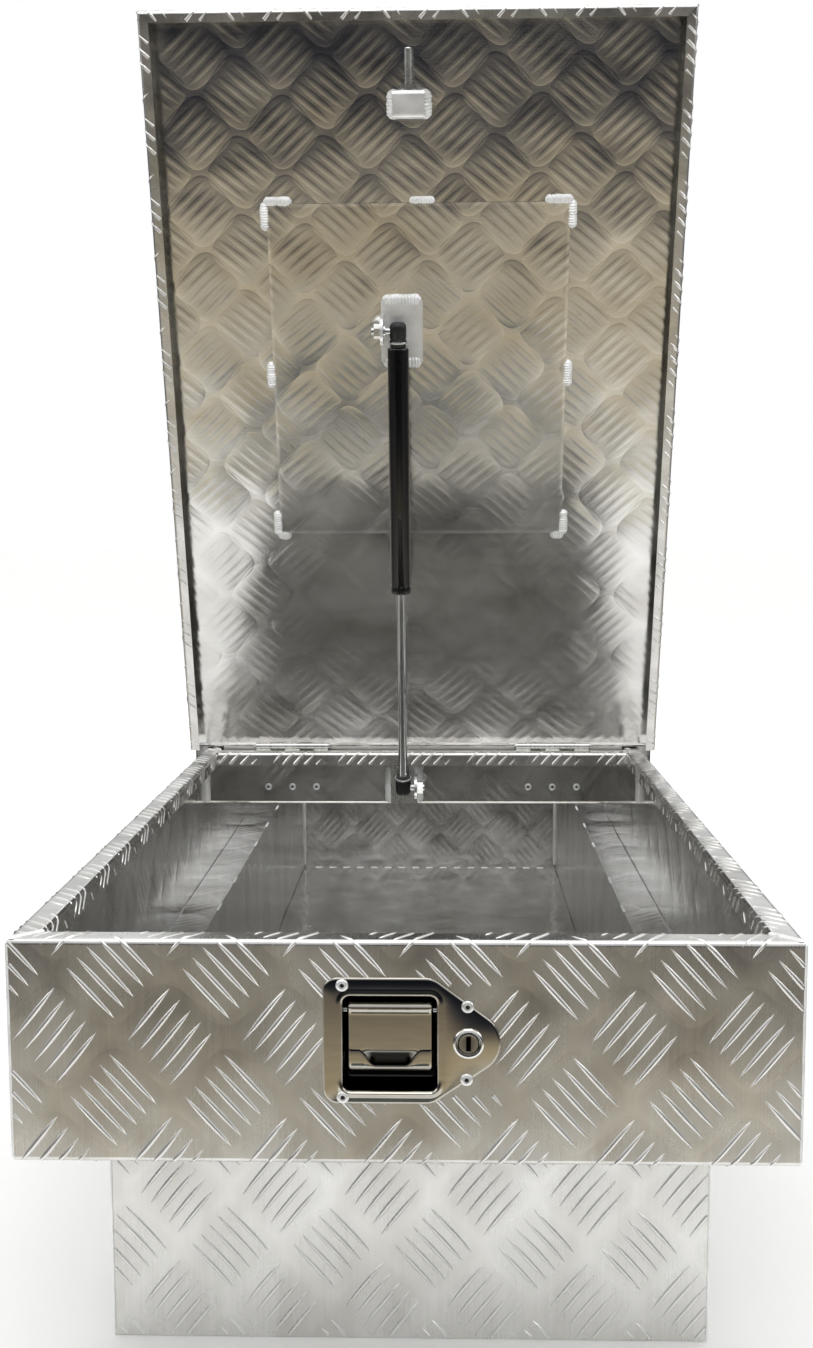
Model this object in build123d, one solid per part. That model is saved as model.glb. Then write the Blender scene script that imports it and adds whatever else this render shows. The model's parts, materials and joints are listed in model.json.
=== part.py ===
from build123d import *
from math import asin, atan2, cos, degrees, hypot, radians, sin
import os

# Gull-wing crossover truck-bed tool box in bent aluminium tread plate.
# Frame: millimetres, +Z up, +Y along the box (across the truck bed), origin at the
# bottom centre of the tub floor. The "near" end is at -Y. The far end is the near end
# turned half a turn about Z, as both ends are made alike. The lids are modelled open.

# ---- driving dimensions ---------------------------------------------------------
SHEET = 1.6                  # tread plate thickness
BEND = 2.0                   # inside radius of a bend
BODY_WIDTH = 508.0           # outside width of the upper body
BODY_LENGTH = 1648.0         # outside length over the end panels
BODY_HEIGHT = 330.0          # floor to rim
UPPER_HEIGHT = 148.0         # height of the wide upper section
TUB_WIDTH = 433.0            # outside width of the lower tub
END_OVERHANG = 108.0         # how far the upper section runs past the tub at each end
RIM_LEDGE = 20.0             # inward ledge all round the mouth
RIM_RETURN = 15.0            # down-turned flange inside the ledge
CHANNEL_WIDTH = 124.0        # over the two strips of the centre bridge
CHANNEL_DEPTH = 63.0         # rim to the underside of the centre bridge
CAP_WIDTH_Y = 92.0           # centre cap between the two lids
CAP_FLANGE = 9.0             # down-turned edge of the centre cap

LID_OVERHANG = 12.0          # lid outside the walls on three sides
LID_SKIRT = 22.0             # depth of the lid's turned-down skirt
LID_LIP = 10.5               # inward lip at the skirt's lower edge
LID_GAP = 2.0                # lid plate above the rim when shut
LID_OPEN = 74.0              # opening angle in degrees
AXIS_Y = -57.0               # hinge axis of the near lid
AXIS_Z = 334.0
LID_REAR_GAP = 5.5           # hinge axis to the lid plate's rear edge

HINGE_X = 151.0              # centre of each hinge from the centre plane
HINGE_WIDTH = 84.0
HINGE_LEAF = 2.0             # leaf thickness
HINGE_DROP = 58.0            # fixed leaf, down from the axis
HINGE_REACH = 44.0           # moving leaf, forward from the axis
KNUCKLE_R = 4.5
KNUCKLES = 5
PIN_R = 2.5
PIN_FIT = 0.05               # running clearance on a radius
RIVET_PITCH = 28.0
RIVET_DROP = 43.0            # hinge rivets below the rim
RIVET_R = 2.0
RIVET_HEAD_R = 4.0
RIVET_HEAD = 1.6
RIVET_BULB = 2.4             # set end of a blind rivet, beyond the grip
KNUCKLE_CLEAR = 1.0          # leaves cut back round the other leaf's knuckles
KNUCKLE_GAP = 0.2            # at each end of a knuckle
PIN_HEAD = 1.5
DRILL = 5.0                  # cutters reach this far through a sheet

BEAD_LEG = 5.0               # upright welds in the body's corners
WELD_WIDTH = 7.0             # short welds inside the lid
WELD_LENGTH = 26.0
WELD_HEIGHT = 1.8
BRACKET_WELD_HEIGHT = 2.4
CORNER_SEAM_R = 2.4          # weld along each front corner of the lid
LEAF_SEAM = 4.0              # weld across the end of a moving hinge leaf

STIFFENER_X = 153.0          # half width of the plate welded inside the lid
STIFFENER_NEAR = 258.0       # from the hinge axis to its rear and front edges
STIFFENER_FAR = 602.0
STIFFENER_T = 2.0

STRUT_X = -21.0              # plane in which the strut swings
BALL_LOW_Y = -95.0           # lower ball centre
BALL_LOW_Z = 292.5
BALL_HIGH_REACH = 479.0      # upper ball centre from the hinge axis, lid shut
BALL_HIGH_DROP = 26.0        # upper ball centre under the lid plate
BALL_R = 5.0
BALL_NECK_R = 3.5
TUBE_R = 11.0
TUBE_WALL = 1.5
TUBE_LENGTH = 262.0
ROD_R = 5.0
SOCKET_R = 8.5
SOCKET_TAIL = 9.0            # socket beyond the ball centre
UPPER_SOCKET = 16.0          # ball centre to the socket's inner end
LOWER_SOCKET = 14.0
BRACKET_T = 3.0
STUD_R = 4.0
STUD_FIT = 0.05
NUT_FLATS = 13.0
NUT_T = 6.5
UPPER_EAR = 15.0             # strut plane to the upper ear's near face
UPPER_EAR_R = 14.0
UPPER_BASE = 43.0            # width of the upper bracket's base
UPPER_BASE_FRONT = 28.0      # its reach before and behind the ball
UPPER_BASE_REAR = 35.0
UPPER_BALL_GAP = 0.3         # ball's collar to the ear
LOWER_EAR = 16.0             # strut plane to the lower ear's far face
LOWER_EAR_R = 13.0
LOWER_BASE = 15.5            # strut plane to the base's other edge
GLAND_SEAT = 8.0             # open end of the tube
PISTON_LENGTH = 10.0
SOCKET_ROUND = 4.0
CLIP_T = 1.8
CLIP_R = SOCKET_R + 1.0

STRIKER_X = -8.0
STRIKER_DROP = 25.0          # striker bolt axis under the lid plate
STRIKER_TIP = 22.5           # bolt tip behind the end panel's outer face
STRIKER_R = 4.0
STRIKER_FRONT = 60.0         # bracket's front wall behind the end panel's outer face
STRIKER_LENGTH = 26.0
STRIKER_WIDTH = 31.0
STRIKER_HEIGHT = 37.0

PLATE_LEFT = -51.6           # latch face plate
PLATE_WIDTH = 113.4
PLATE_HEIGHT = 83.0
PLATE_TOP_DROP = 24.0
PLATE_T = 1.5
PLATE_CORNER = 9.0
CUP_LEFT = -40.1             # finger cup in the face plate
CUP_WIDTH = 62.4
CUP_TOP_DROP = 34.9
CUP_HEIGHT = 64.5
CUP_CORNER = 6.0
CUP_DEPTH = 18.0
CUP_WALL = 1.2
PADDLE_WIDTH = 55.0
PADDLE_T = 1.5
PADDLE_TOP_DROP = 39.7
PADDLE_FOOT_DROP = 82.7
PADDLE_STEP_DROP = 70.6
PADDLE_PIN_DROP = 48.3
PADDLE_PIN_DEPTH = 10.0      # pin axis behind the end panel's outer face
PADDLE_PIN_R = 2.0
LOCK_X = 41.2
LOCK_DROP = 66.6
LOCK_RING_R = 10.0
PLUG_R = 7.7
CATCH_R = 12.0               # C-shaped catch that turns round the striker
CATCH_BORE_R = 5.0
CATCH_T = 8.0
HOUSING_HALF_X = 22.0
HOUSING_T = 16.0
HOUSING_TOP_DROP = 9.0       # under the rim
HOUSING_FOOT_DROP = 72.0
CUTOUT_MARGIN = 0.5          # end panel's opening round the cup and lock
BARREL_REACH = 22.0          # lock barrel behind the end panel's outer face
LOCK_RING_T = 1.8
CHEEK_R = 4.5
SPRING_HALF = 12.0
SPRING_WIRE = 1.8

# ---- values that follow ---------------------------------------------------------
HALF_W = BODY_WIDTH / 2
HALF_L = BODY_LENGTH / 2
HALF_TUB = TUB_WIDTH / 2
RIM_Z = BODY_HEIGHT
SHELF_Z = BODY_HEIGHT - UPPER_HEIGHT
TUB_HALF_L = HALF_L - END_OVERHANG
STRIP_Y = CHANNEL_WIDTH / 2
CHANNEL_Z = RIM_Z - CHANNEL_DEPTH
END_Y = -HALF_L
LID_Z = RIM_Z + LID_GAP
LID_TOP_Z = LID_Z + SHEET
LID_HALF_W = HALF_W + LID_OVERHANG
LID_FRONT_Y = END_Y - LID_OVERHANG
LID_REAR_Y = AXIS_Y - LID_REAR_GAP
SKIRT_FOOT_Z = LID_Z - LID_SKIRT
BALL_HIGH_Y = AXIS_Y - BALL_HIGH_REACH
BALL_HIGH_Z = LID_Z - BALL_HIGH_DROP
STRIKER_Z = LID_Z - STRIKER_DROP
LOCK_Z = RIM_Z - LOCK_DROP
PADDLE_X = CUP_LEFT + CUP_WIDTH / 2
PADDLE_PIN_Y = END_Y + PADDLE_PIN_DEPTH
PADDLE_PIN_Z = RIM_Z - PADDLE_PIN_DROP
HOUSING_Y0 = END_Y + RIM_LEDGE + 0.4
HOUSING_Y1 = HOUSING_Y0 + HOUSING_T
CATCH_Y0 = HOUSING_Y0 + 4.0
CATCH_Y1 = CATCH_Y0 + CATCH_T
HINGE_AXIS = Axis((0, AXIS_Y, AXIS_Z), (1, 0, 0))


# ---- shape helpers --------------------------------------------------------------
def block(x0, x1, y0, y1, z0, z1):
    """A box between two corners."""
    corner = (Align.MIN, Align.MIN, Align.MIN)
    return Pos(x0, y0, z0) * Box(x1 - x0, y1 - y0, z1 - z0, align=corner)


def rod_x(x0, x1, y, z, radius):
    """A cylinder along X."""
    return Pos((x0 + x1) / 2, y, z) * Rot(Y=90) * Cylinder(radius, abs(x1 - x0))


def rod_y(x, y0, y1, z, radius):
    """A cylinder along Y."""
    return Pos(x, (y0 + y1) / 2, z) * Rot(X=90) * Cylinder(radius, abs(y1 - y0))


def hex_x(x0, x1, y, z, flats):
    """A hexagonal nut or head along X, measured across its flats."""
    face = Plane.YZ.offset(x0) * Pos(y, z) * RegularPolygon(flats / 2, 6, major_radius=False)
    return extrude(face, x1 - x0)


def hex_y(x, y0, y1, z, flats):
    """A hexagonal nut or head along Y, measured across its flats."""
    face = Plane.XZ.offset(-y0) * Pos(x, z) * RegularPolygon(flats / 2, 6, major_radius=False)
    return extrude(face, -(y1 - y0))


def bent_sheet(points, side=-1, thickness=SHEET, bend=BEND):
    """A face of bent sheet. The points run along its patterned surface and the metal lies
    to the left of the run for side 1, to the right for side -1."""
    turns = []
    offset_points = []
    count = len(points)
    for i, (x, y) in enumerate(points):
        before = points[max(i - 1, 0)]
        here = points[i]
        after = points[min(i + 1, count - 1)]
        first = (here[0] - before[0], here[1] - before[1]) if i else None
        second = (after[0] - here[0], after[1] - here[1]) if i < count - 1 else None
        first = first or second
        second = second or first
        a = hypot(*first)
        b = hypot(*second)
        n1 = (-first[1] / a * side, first[0] / a * side)
        n2 = (-second[1] / b * side, second[0] / b * side)
        scale = thickness / (1 + n1[0] * n2[0] + n1[1] * n2[1])
        offset_points.append((x + (n1[0] + n2[0]) * scale, y + (n1[1] + n2[1]) * scale))
        if 0 < i < count - 1:
            turns.append(side * (first[0] * second[1] - first[1] * second[0]) > 0)
    outer_radii = [bend + thickness if toward else bend for toward in turns]
    inner_radii = [bend if toward else bend + thickness for toward in turns]
    outer = FilletPolyline(*points, radius=outer_radii)
    inner = FilletPolyline(*offset_points, radius=inner_radii)
    ends = Line(points[0], offset_points[0]) + Line(points[-1], offset_points[-1])
    return make_face(outer + inner + ends)


def along_y(face, y0, y1):
    """Extrude a face drawn in X and Z between two values of Y."""
    return extrude(Plane.XZ.offset(-y1) * face, y1 - y0)


def along_x(face, x0, x1):
    """Extrude a face drawn in Y and Z between two values of X."""
    return extrude(Plane.YZ.offset(x0) * face, x1 - x0)


def plan(points, z0, z1):
    """A prism over a polygon drawn in X and Y."""
    return extrude(Plane.XY.offset(z0) * make_face(Polyline(*points, close=True)), z1 - z0)


def upright_bead(x, y, way_x, way_y, z0, z1):
    """A triangular weld that stands in an inside corner at x and y."""
    return plan([(x, y), (x + way_x * BEAD_LEG, y), (x, y + way_y * BEAD_LEG)], z0, z1)


def opened(shape):
    """Swing a piece of the shut near lid to the modelled open pose."""
    return shape.rotate(HINGE_AXIS, -LID_OPEN)


def turned(shape):
    """The same piece at the far end."""
    return shape.rotate(Axis.Z, 180)


def solids(shapes):
    """Separate solids kept in one node."""
    return Compound([solid for shape in shapes for solid in shape.solids()])


def both_ends(shapes):
    """Near pieces and their far twins in one node."""
    return solids(list(shapes) + [turned(shape) for shape in shapes])


# ---- body -----------------------------------------------------------------------
def rim_profile(wall, direction, foot_reach):
    """Return flange, ledge, wall and shelf of one panel, from the top down. The wall's
    outer face is at `wall`; direction points from it to the inside."""
    return [
        (wall + direction * RIM_LEDGE, RIM_Z - RIM_RETURN),
        (wall + direction * RIM_LEDGE, RIM_Z),
        (wall, RIM_Z),
        (wall, SHELF_Z),
        (wall + direction * foot_reach, SHELF_Z),
    ]


def side_panel():
    """Right side: rim, wall and shelf from one sheet, mitred at its ends."""
    shelf = HALF_W - HALF_TUB
    face = bent_sheet(rim_profile(HALF_W, -1, shelf))
    panel = along_y(face, -HALF_L, HALF_L)
    region = plan([(HALF_W, -HALF_L), (HALF_W, HALF_L),
                   (HALF_TUB, HALF_L - shelf), (HALF_TUB, -HALF_L + shelf)], 0, BODY_HEIGHT)
    return panel & region


def latch_cutout():
    """Opening in the end panel for the latch's cup and lock."""
    margin = CUP_WALL + CUTOUT_MARGIN
    left = CUP_LEFT - margin
    right = CUP_LEFT + CUP_WIDTH + margin
    top = RIM_Z - CUP_TOP_DROP + margin
    foot = top - CUP_HEIGHT - 2 * margin
    cup = block(left, right, END_Y - DRILL, END_Y + DRILL, foot, top)
    return cup + rod_y(LOCK_X, END_Y - DRILL, END_Y + DRILL, LOCK_Z, LOCK_RING_R + CUTOUT_MARGIN)


def latch_rivet_places():
    """Centres of the four rivets of the face plate, in X and Z."""
    return [(PLATE_LEFT + 12.5, RIM_Z - 28.8), (PLATE_LEFT + 12.5, RIM_Z - 102.4),
            (PLATE_LEFT + 92.3, RIM_Z - 42.5), (PLATE_LEFT + 91.6, RIM_Z - 90.4)]


def end_panel():
    """Near end: rim, wall and the underside that sits on the bed rail."""
    shelf = HALF_W - HALF_TUB
    face = bent_sheet(rim_profile(END_Y, 1, END_OVERHANG), side=1)
    panel = along_x(face, -HALF_W, HALF_W)
    outline = [(HALF_W, END_Y), (HALF_TUB, END_Y + shelf), (HALF_TUB, -TUB_HALF_L)]
    mirror = [(-x, y) for x, y in reversed(outline)]
    panel = panel & plan(outline + mirror, 0, BODY_HEIGHT)
    panel -= latch_cutout()
    for x, z in latch_rivet_places():
        panel -= rod_y(x, END_Y - DRILL, END_Y + DRILL, z, RIVET_R + PIN_FIT)
    return panel


def tub():
    """Floor and both long walls of the lower tub from one sheet."""
    top = SHELF_Z + SHEET
    face = bent_sheet([(-HALF_TUB, top), (-HALF_TUB, 0), (HALF_TUB, 0), (HALF_TUB, top)], side=1)
    return along_y(face, -TUB_HALF_L + SHEET, TUB_HALF_L - SHEET)


def tub_end():
    """Near end wall of the lower tub."""
    return block(-HALF_TUB, HALF_TUB, -TUB_HALF_L, -TUB_HALF_L + SHEET, 0, SHELF_Z + SHEET)


def bridge_channel():
    """Centre bridge: an upward channel whose edges fold over to finish both mouths."""
    ledge = STRIP_Y + RIM_LEDGE
    inner = STRIP_Y - SHEET
    half = [(-ledge, RIM_Z - RIM_RETURN), (-ledge, RIM_Z), (-inner, RIM_Z), (-inner, CHANNEL_Z + SHEET)]
    other_half = [(-y, z) for y, z in reversed(half)]
    channel = along_x(bent_sheet(half + other_half, side=-1), -HALF_W, HALF_W)
    wide = HALF_W - SHEET
    narrow = HALF_W - RIM_LEDGE
    step = RIM_Z - RIM_RETURN
    channel = channel & (block(-wide, wide, -ledge, ledge, CHANNEL_Z, step)
                         + block(-narrow, narrow, -ledge, ledge, step, RIM_Z))
    for x in hinge_rivet_places():
        for y in (-STRIP_Y, STRIP_Y):
            channel -= rod_y(x, y - DRILL, y + DRILL, RIM_Z - RIVET_DROP, RIVET_R + PIN_FIT)
    return channel


def bridge_cap():
    """Tread cap between the lids: plate, side skirts, lips welded to the walls, and
    down-turned edges inside the channel."""
    skirt = [(HALF_W, SKIRT_FOOT_Z), (LID_HALF_W, SKIRT_FOOT_Z), (LID_HALF_W, LID_TOP_Z)]
    mirror = [(-x, z) for x, z in reversed(skirt)]
    half = CAP_WIDTH_Y / 2
    cap = along_y(bent_sheet(skirt + mirror, side=1), -half, half)
    reach = HALF_W - RIM_LEDGE - 1
    for y0, y1 in ((-half, -half + SHEET), (half - SHEET, half)):
        cap += block(-reach, reach, y0, y1, LID_Z - CAP_FLANGE, LID_TOP_Z - 0.5)
    return cap


def body_weld_beads():
    """Upright welds where the bridge and the end panels meet the side walls."""
    wall = HALF_W - SHEET
    top = RIM_Z - RIM_RETURN - 2
    beads = []
    for x, inward in ((-wall, 1), (wall, -1)):
        beads.append(upright_bead(x, -STRIP_Y, inward, -1, CHANNEL_Z, top))
        beads.append(upright_bead(x, END_Y + SHEET, inward, 1, SHELF_Z + 8, top))
    return both_ends(beads)


# ---- hinges ---------------------------------------------------------------------
def hinge_rivet_places():
    """Centres of the hinge rivets along X."""
    return [centre + step * RIVET_PITCH for centre in (-HINGE_X, HINGE_X) for step in (-1, 0, 1)]


def knuckle_spans(moving):
    """Ends along X of one hinge's knuckles, about the hinge's centre."""
    width = HINGE_WIDTH / KNUCKLES
    first = 1 if moving else 0
    return [(-HINGE_WIDTH / 2 + i * width + KNUCKLE_GAP, -HINGE_WIDTH / 2 + (i + 1) * width - KNUCKLE_GAP)
            for i in range(first, KNUCKLES, 2)]


def hinge_leaf(moving):
    """One leaf of a near hinge at x = 0, lid shut: a plate and its knuckles."""
    clear = KNUCKLE_R + KNUCKLE_CLEAR
    half = HINGE_WIDTH / 2
    leaf_y = -STRIP_Y + SHEET
    if moving:
        leaf = block(-half, half, AXIS_Y - HINGE_REACH, AXIS_Y - clear, LID_TOP_Z, LID_TOP_Z + HINGE_LEAF)
    else:
        leaf = block(-half, half, leaf_y, leaf_y + HINGE_LEAF, AXIS_Z - HINGE_DROP, AXIS_Z - clear)
    for x0, x1 in knuckle_spans(moving):
        leaf += rod_x(x0, x1, AXIS_Y, AXIS_Z, KNUCKLE_R)
        if moving:
            rear = AXIS_Y - PIN_R - KNUCKLE_CLEAR
            leaf += block(x0, x1, AXIS_Y - clear, rear, LID_TOP_Z, LID_TOP_Z + HINGE_LEAF)
        else:
            leaf += block(x0, x1, leaf_y, leaf_y + HINGE_LEAF, AXIS_Z - clear, AXIS_Z)
    leaf -= rod_x(-half - 1, half + 1, AXIS_Y, AXIS_Z, PIN_R + PIN_FIT)
    if not moving:
        for step in (-1, 0, 1):
            place = step * RIVET_PITCH
            leaf -= rod_y(place, leaf_y - DRILL, leaf_y + DRILL, RIM_Z - RIVET_DROP, RIVET_R + PIN_FIT)
    return leaf


def hinge_set(shape):
    """A hinge piece at both places across the lid."""
    return [Pos(x, 0, 0) * shape for x in (-HINGE_X, HINGE_X)]


def hinge_pin():
    """Headed pin of one hinge."""
    half = HINGE_WIDTH / 2
    head = half + KNUCKLE_GAP
    pin = rod_x(-half - PIN_HEAD, head, AXIS_Y, AXIS_Z, PIN_R)
    return pin + rod_x(head, head + PIN_HEAD, AXIS_Y, AXIS_Z, KNUCKLE_R - 0.5)


def blind_rivet_y(x, y, z, grip):
    """A blind rivet along Y: domed head on the -Y side of y, bulb beyond the grip."""
    shank = rod_y(x, y, y + grip, z, RIVET_R)
    bulb = rod_y(x, y + grip, y + grip + RIVET_BULB, z, RIVET_R * 1.45)
    foot = (Align.CENTER, Align.CENTER, Align.MIN)
    dome = Pos(x, y, z) * Rot(X=90) * Cylinder(RIVET_HEAD_R, RIVET_HEAD, align=foot)
    rim = dome.edges().group_by(Axis.Y)[0]
    dome = fillet(rim, RIVET_HEAD * 0.75)
    mandrel = rod_y(x, y - RIVET_HEAD - 1, y - RIVET_HEAD * 0.5, z, RIVET_R * 0.6)
    return shank + bulb + dome - mandrel


def hinge_rivets():
    """Rivets that hold the near fixed leaves to the bridge."""
    grip = SHEET + HINGE_LEAF
    return [blind_rivet_y(x, -STRIP_Y, RIM_Z - RIVET_DROP, grip) for x in hinge_rivet_places()]


# ---- lid ------------------------------------------------------------------------
def lid_pan():
    """Shut near lid: a plate with skirts and inward lips on three sides, mitred in front."""
    side = [(LID_HALF_W - LID_LIP, SKIRT_FOOT_Z), (LID_HALF_W, SKIRT_FOOT_Z), (LID_HALF_W, LID_TOP_Z)]
    mirror = [(-x, z) for x, z in reversed(side)]
    sides = along_y(bent_sheet(side + mirror, side=1), LID_FRONT_Y, LID_REAR_Y)
    front = [(LID_FRONT_Y + LID_LIP, SKIRT_FOOT_Z), (LID_FRONT_Y, SKIRT_FOOT_Z),
             (LID_FRONT_Y, LID_TOP_Z), (LID_FRONT_Y + LID_HALF_W, LID_TOP_Z)]
    nose = along_x(bent_sheet(front, side=-1), -LID_HALF_W, LID_HALF_W)
    peak = (0, LID_FRONT_Y + LID_HALF_W)
    left = (-LID_HALF_W, LID_FRONT_Y)
    right = (LID_HALF_W, LID_FRONT_Y)
    rear = [(LID_HALF_W, LID_REAR_Y), (-LID_HALF_W, LID_REAR_Y)]
    sides = sides & plan([left, peak, right] + rear, SKIRT_FOOT_Z - 1, LID_TOP_Z + 1)
    nose = nose & plan([left, right, peak], SKIRT_FOOT_Z - 1, LID_TOP_Z + 1)
    return sides + nose


def lid_stiffener():
    """Plate welded flat inside the lid."""
    return block(-STIFFENER_X, STIFFENER_X, AXIS_Y - STIFFENER_FAR, AXIS_Y - STIFFENER_NEAR,
                 LID_Z - STIFFENER_T, LID_Z)


def weld_pad(x0, x1, y0, y1, top, height=WELD_HEIGHT):
    """A short weld lying on the inside of the shut lid."""
    pad = block(x0, x1, y0, y1, top - height, top)
    return chamfer(pad.faces().sort_by(Axis.Z)[0].edges(), height * 0.6)


def lid_welds():
    """Short welds round the stiffener and brackets, and the two front corner seams."""
    width = WELD_WIDTH
    length = WELD_LENGTH
    near = AXIS_Y - STIFFENER_NEAR
    far = AXIS_Y - STIFFENER_FAR
    pads = []
    for way in (-1, 1):
        edge = way * STIFFENER_X
        x0, x1 = sorted((edge, edge + way * width))
        for y in (near - length, (near + far) / 2 - length / 2, far):
            pads.append(weld_pad(x0, x1, y, y + length, LID_Z))
        c0, c1 = sorted((edge, edge - way * length))
        pads.append(weld_pad(c0, c1, far - width, far, LID_Z))
        inset = CORNER_SEAM_R / 2
        corner = Pos(way * (LID_HALF_W - inset), LID_FRONT_Y + inset, (SKIRT_FOOT_Z + LID_Z) / 2)
        pads.append(corner * Cylinder(CORNER_SEAM_R, LID_SKIRT - 2) - lid_pan())
    pads.append(weld_pad(-length / 2 + 4, length / 2 + 4, far - width, far, LID_Z))
    low_x, high_x, front, rear = upper_bracket_base()
    for y0, y1 in ((front - width, front), (rear, rear + width)):
        pads.append(weld_pad(low_x + 2, high_x - 2, y0, y1, LID_Z - STIFFENER_T, BRACKET_WELD_HEIGHT))
    for way in (-1, 1):
        edge = STRIKER_X + way * STRIKER_WIDTH / 2
        x0, x1 = sorted((edge, edge + way * width))
        y0 = END_Y + STRIKER_FRONT
        pads.append(weld_pad(x0, x1, y0, y0 + STRIKER_LENGTH, LID_Z, BRACKET_WELD_HEIGHT))
    leaf_end = AXIS_Y - HINGE_REACH
    seam = block(-HINGE_WIDTH / 2, HINGE_WIDTH / 2, leaf_end - LEAF_SEAM, leaf_end,
                 LID_TOP_Z, LID_TOP_Z + WELD_HEIGHT)
    return solids(pads + hinge_set(seam))


def upper_bracket_base():
    """Sides of the strut's upper bracket base: low x, high x, front y, rear y."""
    low_x = STRUT_X - UPPER_EAR - BRACKET_T
    return low_x, low_x + UPPER_BASE, BALL_HIGH_Y - UPPER_BASE_FRONT, BALL_HIGH_Y + UPPER_BASE_REAR


def upper_bracket():
    """Upper strut bracket on the shut lid: base plate and rounded ear."""
    low_x, high_x, front, rear = upper_bracket_base()
    top = LID_Z - STIFFENER_T
    bracket = block(low_x, high_x, front, rear, top - BRACKET_T, top)
    ear = UPPER_EAR_R
    bracket += block(low_x, low_x + BRACKET_T, BALL_HIGH_Y - ear, BALL_HIGH_Y + ear, BALL_HIGH_Z, top)
    bracket += rod_x(low_x, low_x + BRACKET_T, BALL_HIGH_Y, BALL_HIGH_Z, ear)
    return bracket - rod_x(low_x - 1, low_x + BRACKET_T + 1, BALL_HIGH_Y, BALL_HIGH_Z, STUD_R + STUD_FIT)


def upper_stud_nut():
    """Threaded end of the upper ball stud with its nut, fast in the lid's bracket."""
    low_x = upper_bracket_base()[0]
    stud = rod_x(low_x - NUT_T - 2.5, low_x + BRACKET_T, BALL_HIGH_Y, BALL_HIGH_Z, STUD_R)
    return stud + hex_x(low_x - NUT_T, low_x, BALL_HIGH_Y, BALL_HIGH_Z, NUT_FLATS)


def striker_bracket():
    """Channel-shaped bracket that carries the striker bolt on the shut lid."""
    y0 = END_Y + STRIKER_FRONT
    y1 = y0 + STRIKER_LENGTH
    x0 = STRIKER_X - STRIKER_WIDTH / 2
    x1 = STRIKER_X + STRIKER_WIDTH / 2
    foot = LID_Z - STRIKER_HEIGHT
    face = bent_sheet([(y0, LID_Z), (y0, foot), (y1, foot), (y1, LID_Z)], side=1, thickness=BRACKET_T)
    bracket = along_x(face, x0, x1)
    return bracket - rod_y(STRIKER_X, y0 - 1, y0 + BRACKET_T + 1, STRIKER_Z, STRIKER_R + PIN_FIT)


def striker_bolt():
    """Striker bolt with its head inside the bracket."""
    wall = END_Y + STRIKER_FRONT
    shank = rod_y(STRIKER_X, END_Y + STRIKER_TIP, wall + BRACKET_T, STRIKER_Z, STRIKER_R)
    shank = chamfer(shank.edges().group_by(Axis.Y)[0], 0.8)
    return shank + hex_y(STRIKER_X, wall + BRACKET_T, wall + BRACKET_T + 5.3, STRIKER_Z, NUT_FLATS)


def striker_nut():
    """Nut and washer on the front of the striker bracket."""
    wall = END_Y + STRIKER_FRONT
    nut = hex_y(STRIKER_X, wall - 5.5, wall - 1.5, STRIKER_Z, NUT_FLATS)
    nut += rod_y(STRIKER_X, wall - 1.5, wall, STRIKER_Z, 8.5)
    return nut - rod_y(STRIKER_X, wall - 8, wall + 1, STRIKER_Z, STRIKER_R + PIN_FIT)


# ---- gas strut ------------------------------------------------------------------
def open_point(y, z):
    """Where a point of the shut near lid is when the lid is open, in Y and Z."""
    turn = radians(-LID_OPEN)
    dy = y - AXIS_Y
    dz = z - AXIS_Z
    return AXIS_Y + dy * cos(turn) - dz * sin(turn), AXIS_Z + dy * sin(turn) + dz * cos(turn)


BALL_OPEN_Y, BALL_OPEN_Z = open_point(BALL_HIGH_Y, BALL_HIGH_Z)
STRUT_OPEN = hypot(BALL_OPEN_Y - BALL_LOW_Y, BALL_OPEN_Z - BALL_LOW_Z)
STRUT_SHUT = hypot(BALL_HIGH_Y - BALL_LOW_Y, BALL_HIGH_Z - BALL_LOW_Z)
STRUT_LEAN = degrees(atan2(-(BALL_OPEN_Y - BALL_LOW_Y), BALL_OPEN_Z - BALL_LOW_Z))
STRUT_LEAN_SHUT = degrees(atan2(-(BALL_HIGH_Y - BALL_LOW_Y), BALL_HIGH_Z - BALL_LOW_Z))
TUBE_TOP = STRUT_OPEN - UPPER_SOCKET
TUBE_FOOT = TUBE_TOP - TUBE_LENGTH


def ball_stud(steps):
    """A ball at the origin and its stepped shank along +X, turned from one profile. Each
    step gives where it ends along X and its radius."""
    neck = steps[0][1]
    start = (BALL_R * cos(asin(neck / BALL_R)), neck)
    points = [start]
    for end, radius in steps:
        points.append((points[-1][0], radius))
        points.append((end, radius))
    points.append((points[-1][0], 0))
    points.append((-BALL_R, 0))
    ball = ThreePointArc((-BALL_R, 0), (0, BALL_R), start)
    return revolve(make_face(ball + Polyline(*points[1:])), Axis.X)


def placed_strut(shape):
    """Put a strut piece, drawn up +Z from the lower ball, in its place."""
    return Pos(STRUT_X, BALL_LOW_Y, BALL_LOW_Z) * Rot(X=STRUT_LEAN) * shape


def post(z0, z1, radius):
    """A cylinder along the strut's own axis."""
    return Pos(0, 0, (z0 + z1) / 2) * Cylinder(radius, z1 - z0)


def strut_tube():
    """Pressure tube, closed at the top and open where the gland sits."""
    tube = post(TUBE_FOOT, TUBE_TOP, TUBE_R)
    tube = fillet(tube.edges().group_by(Axis.Z)[-1] + tube.edges().group_by(Axis.Z)[0], 1.2)
    return tube - post(TUBE_FOOT - 1, TUBE_TOP - 5, TUBE_R - TUBE_WALL)


def strut_gland():
    """Guide and seal that close the tube round the rod."""
    gland = post(TUBE_FOOT + 0.8, TUBE_FOOT + GLAND_SEAT - 0.5, TUBE_R - TUBE_WALL)
    return gland - post(TUBE_FOOT - 1, TUBE_FOOT + GLAND_SEAT + 1, ROD_R + PIN_FIT)


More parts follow.
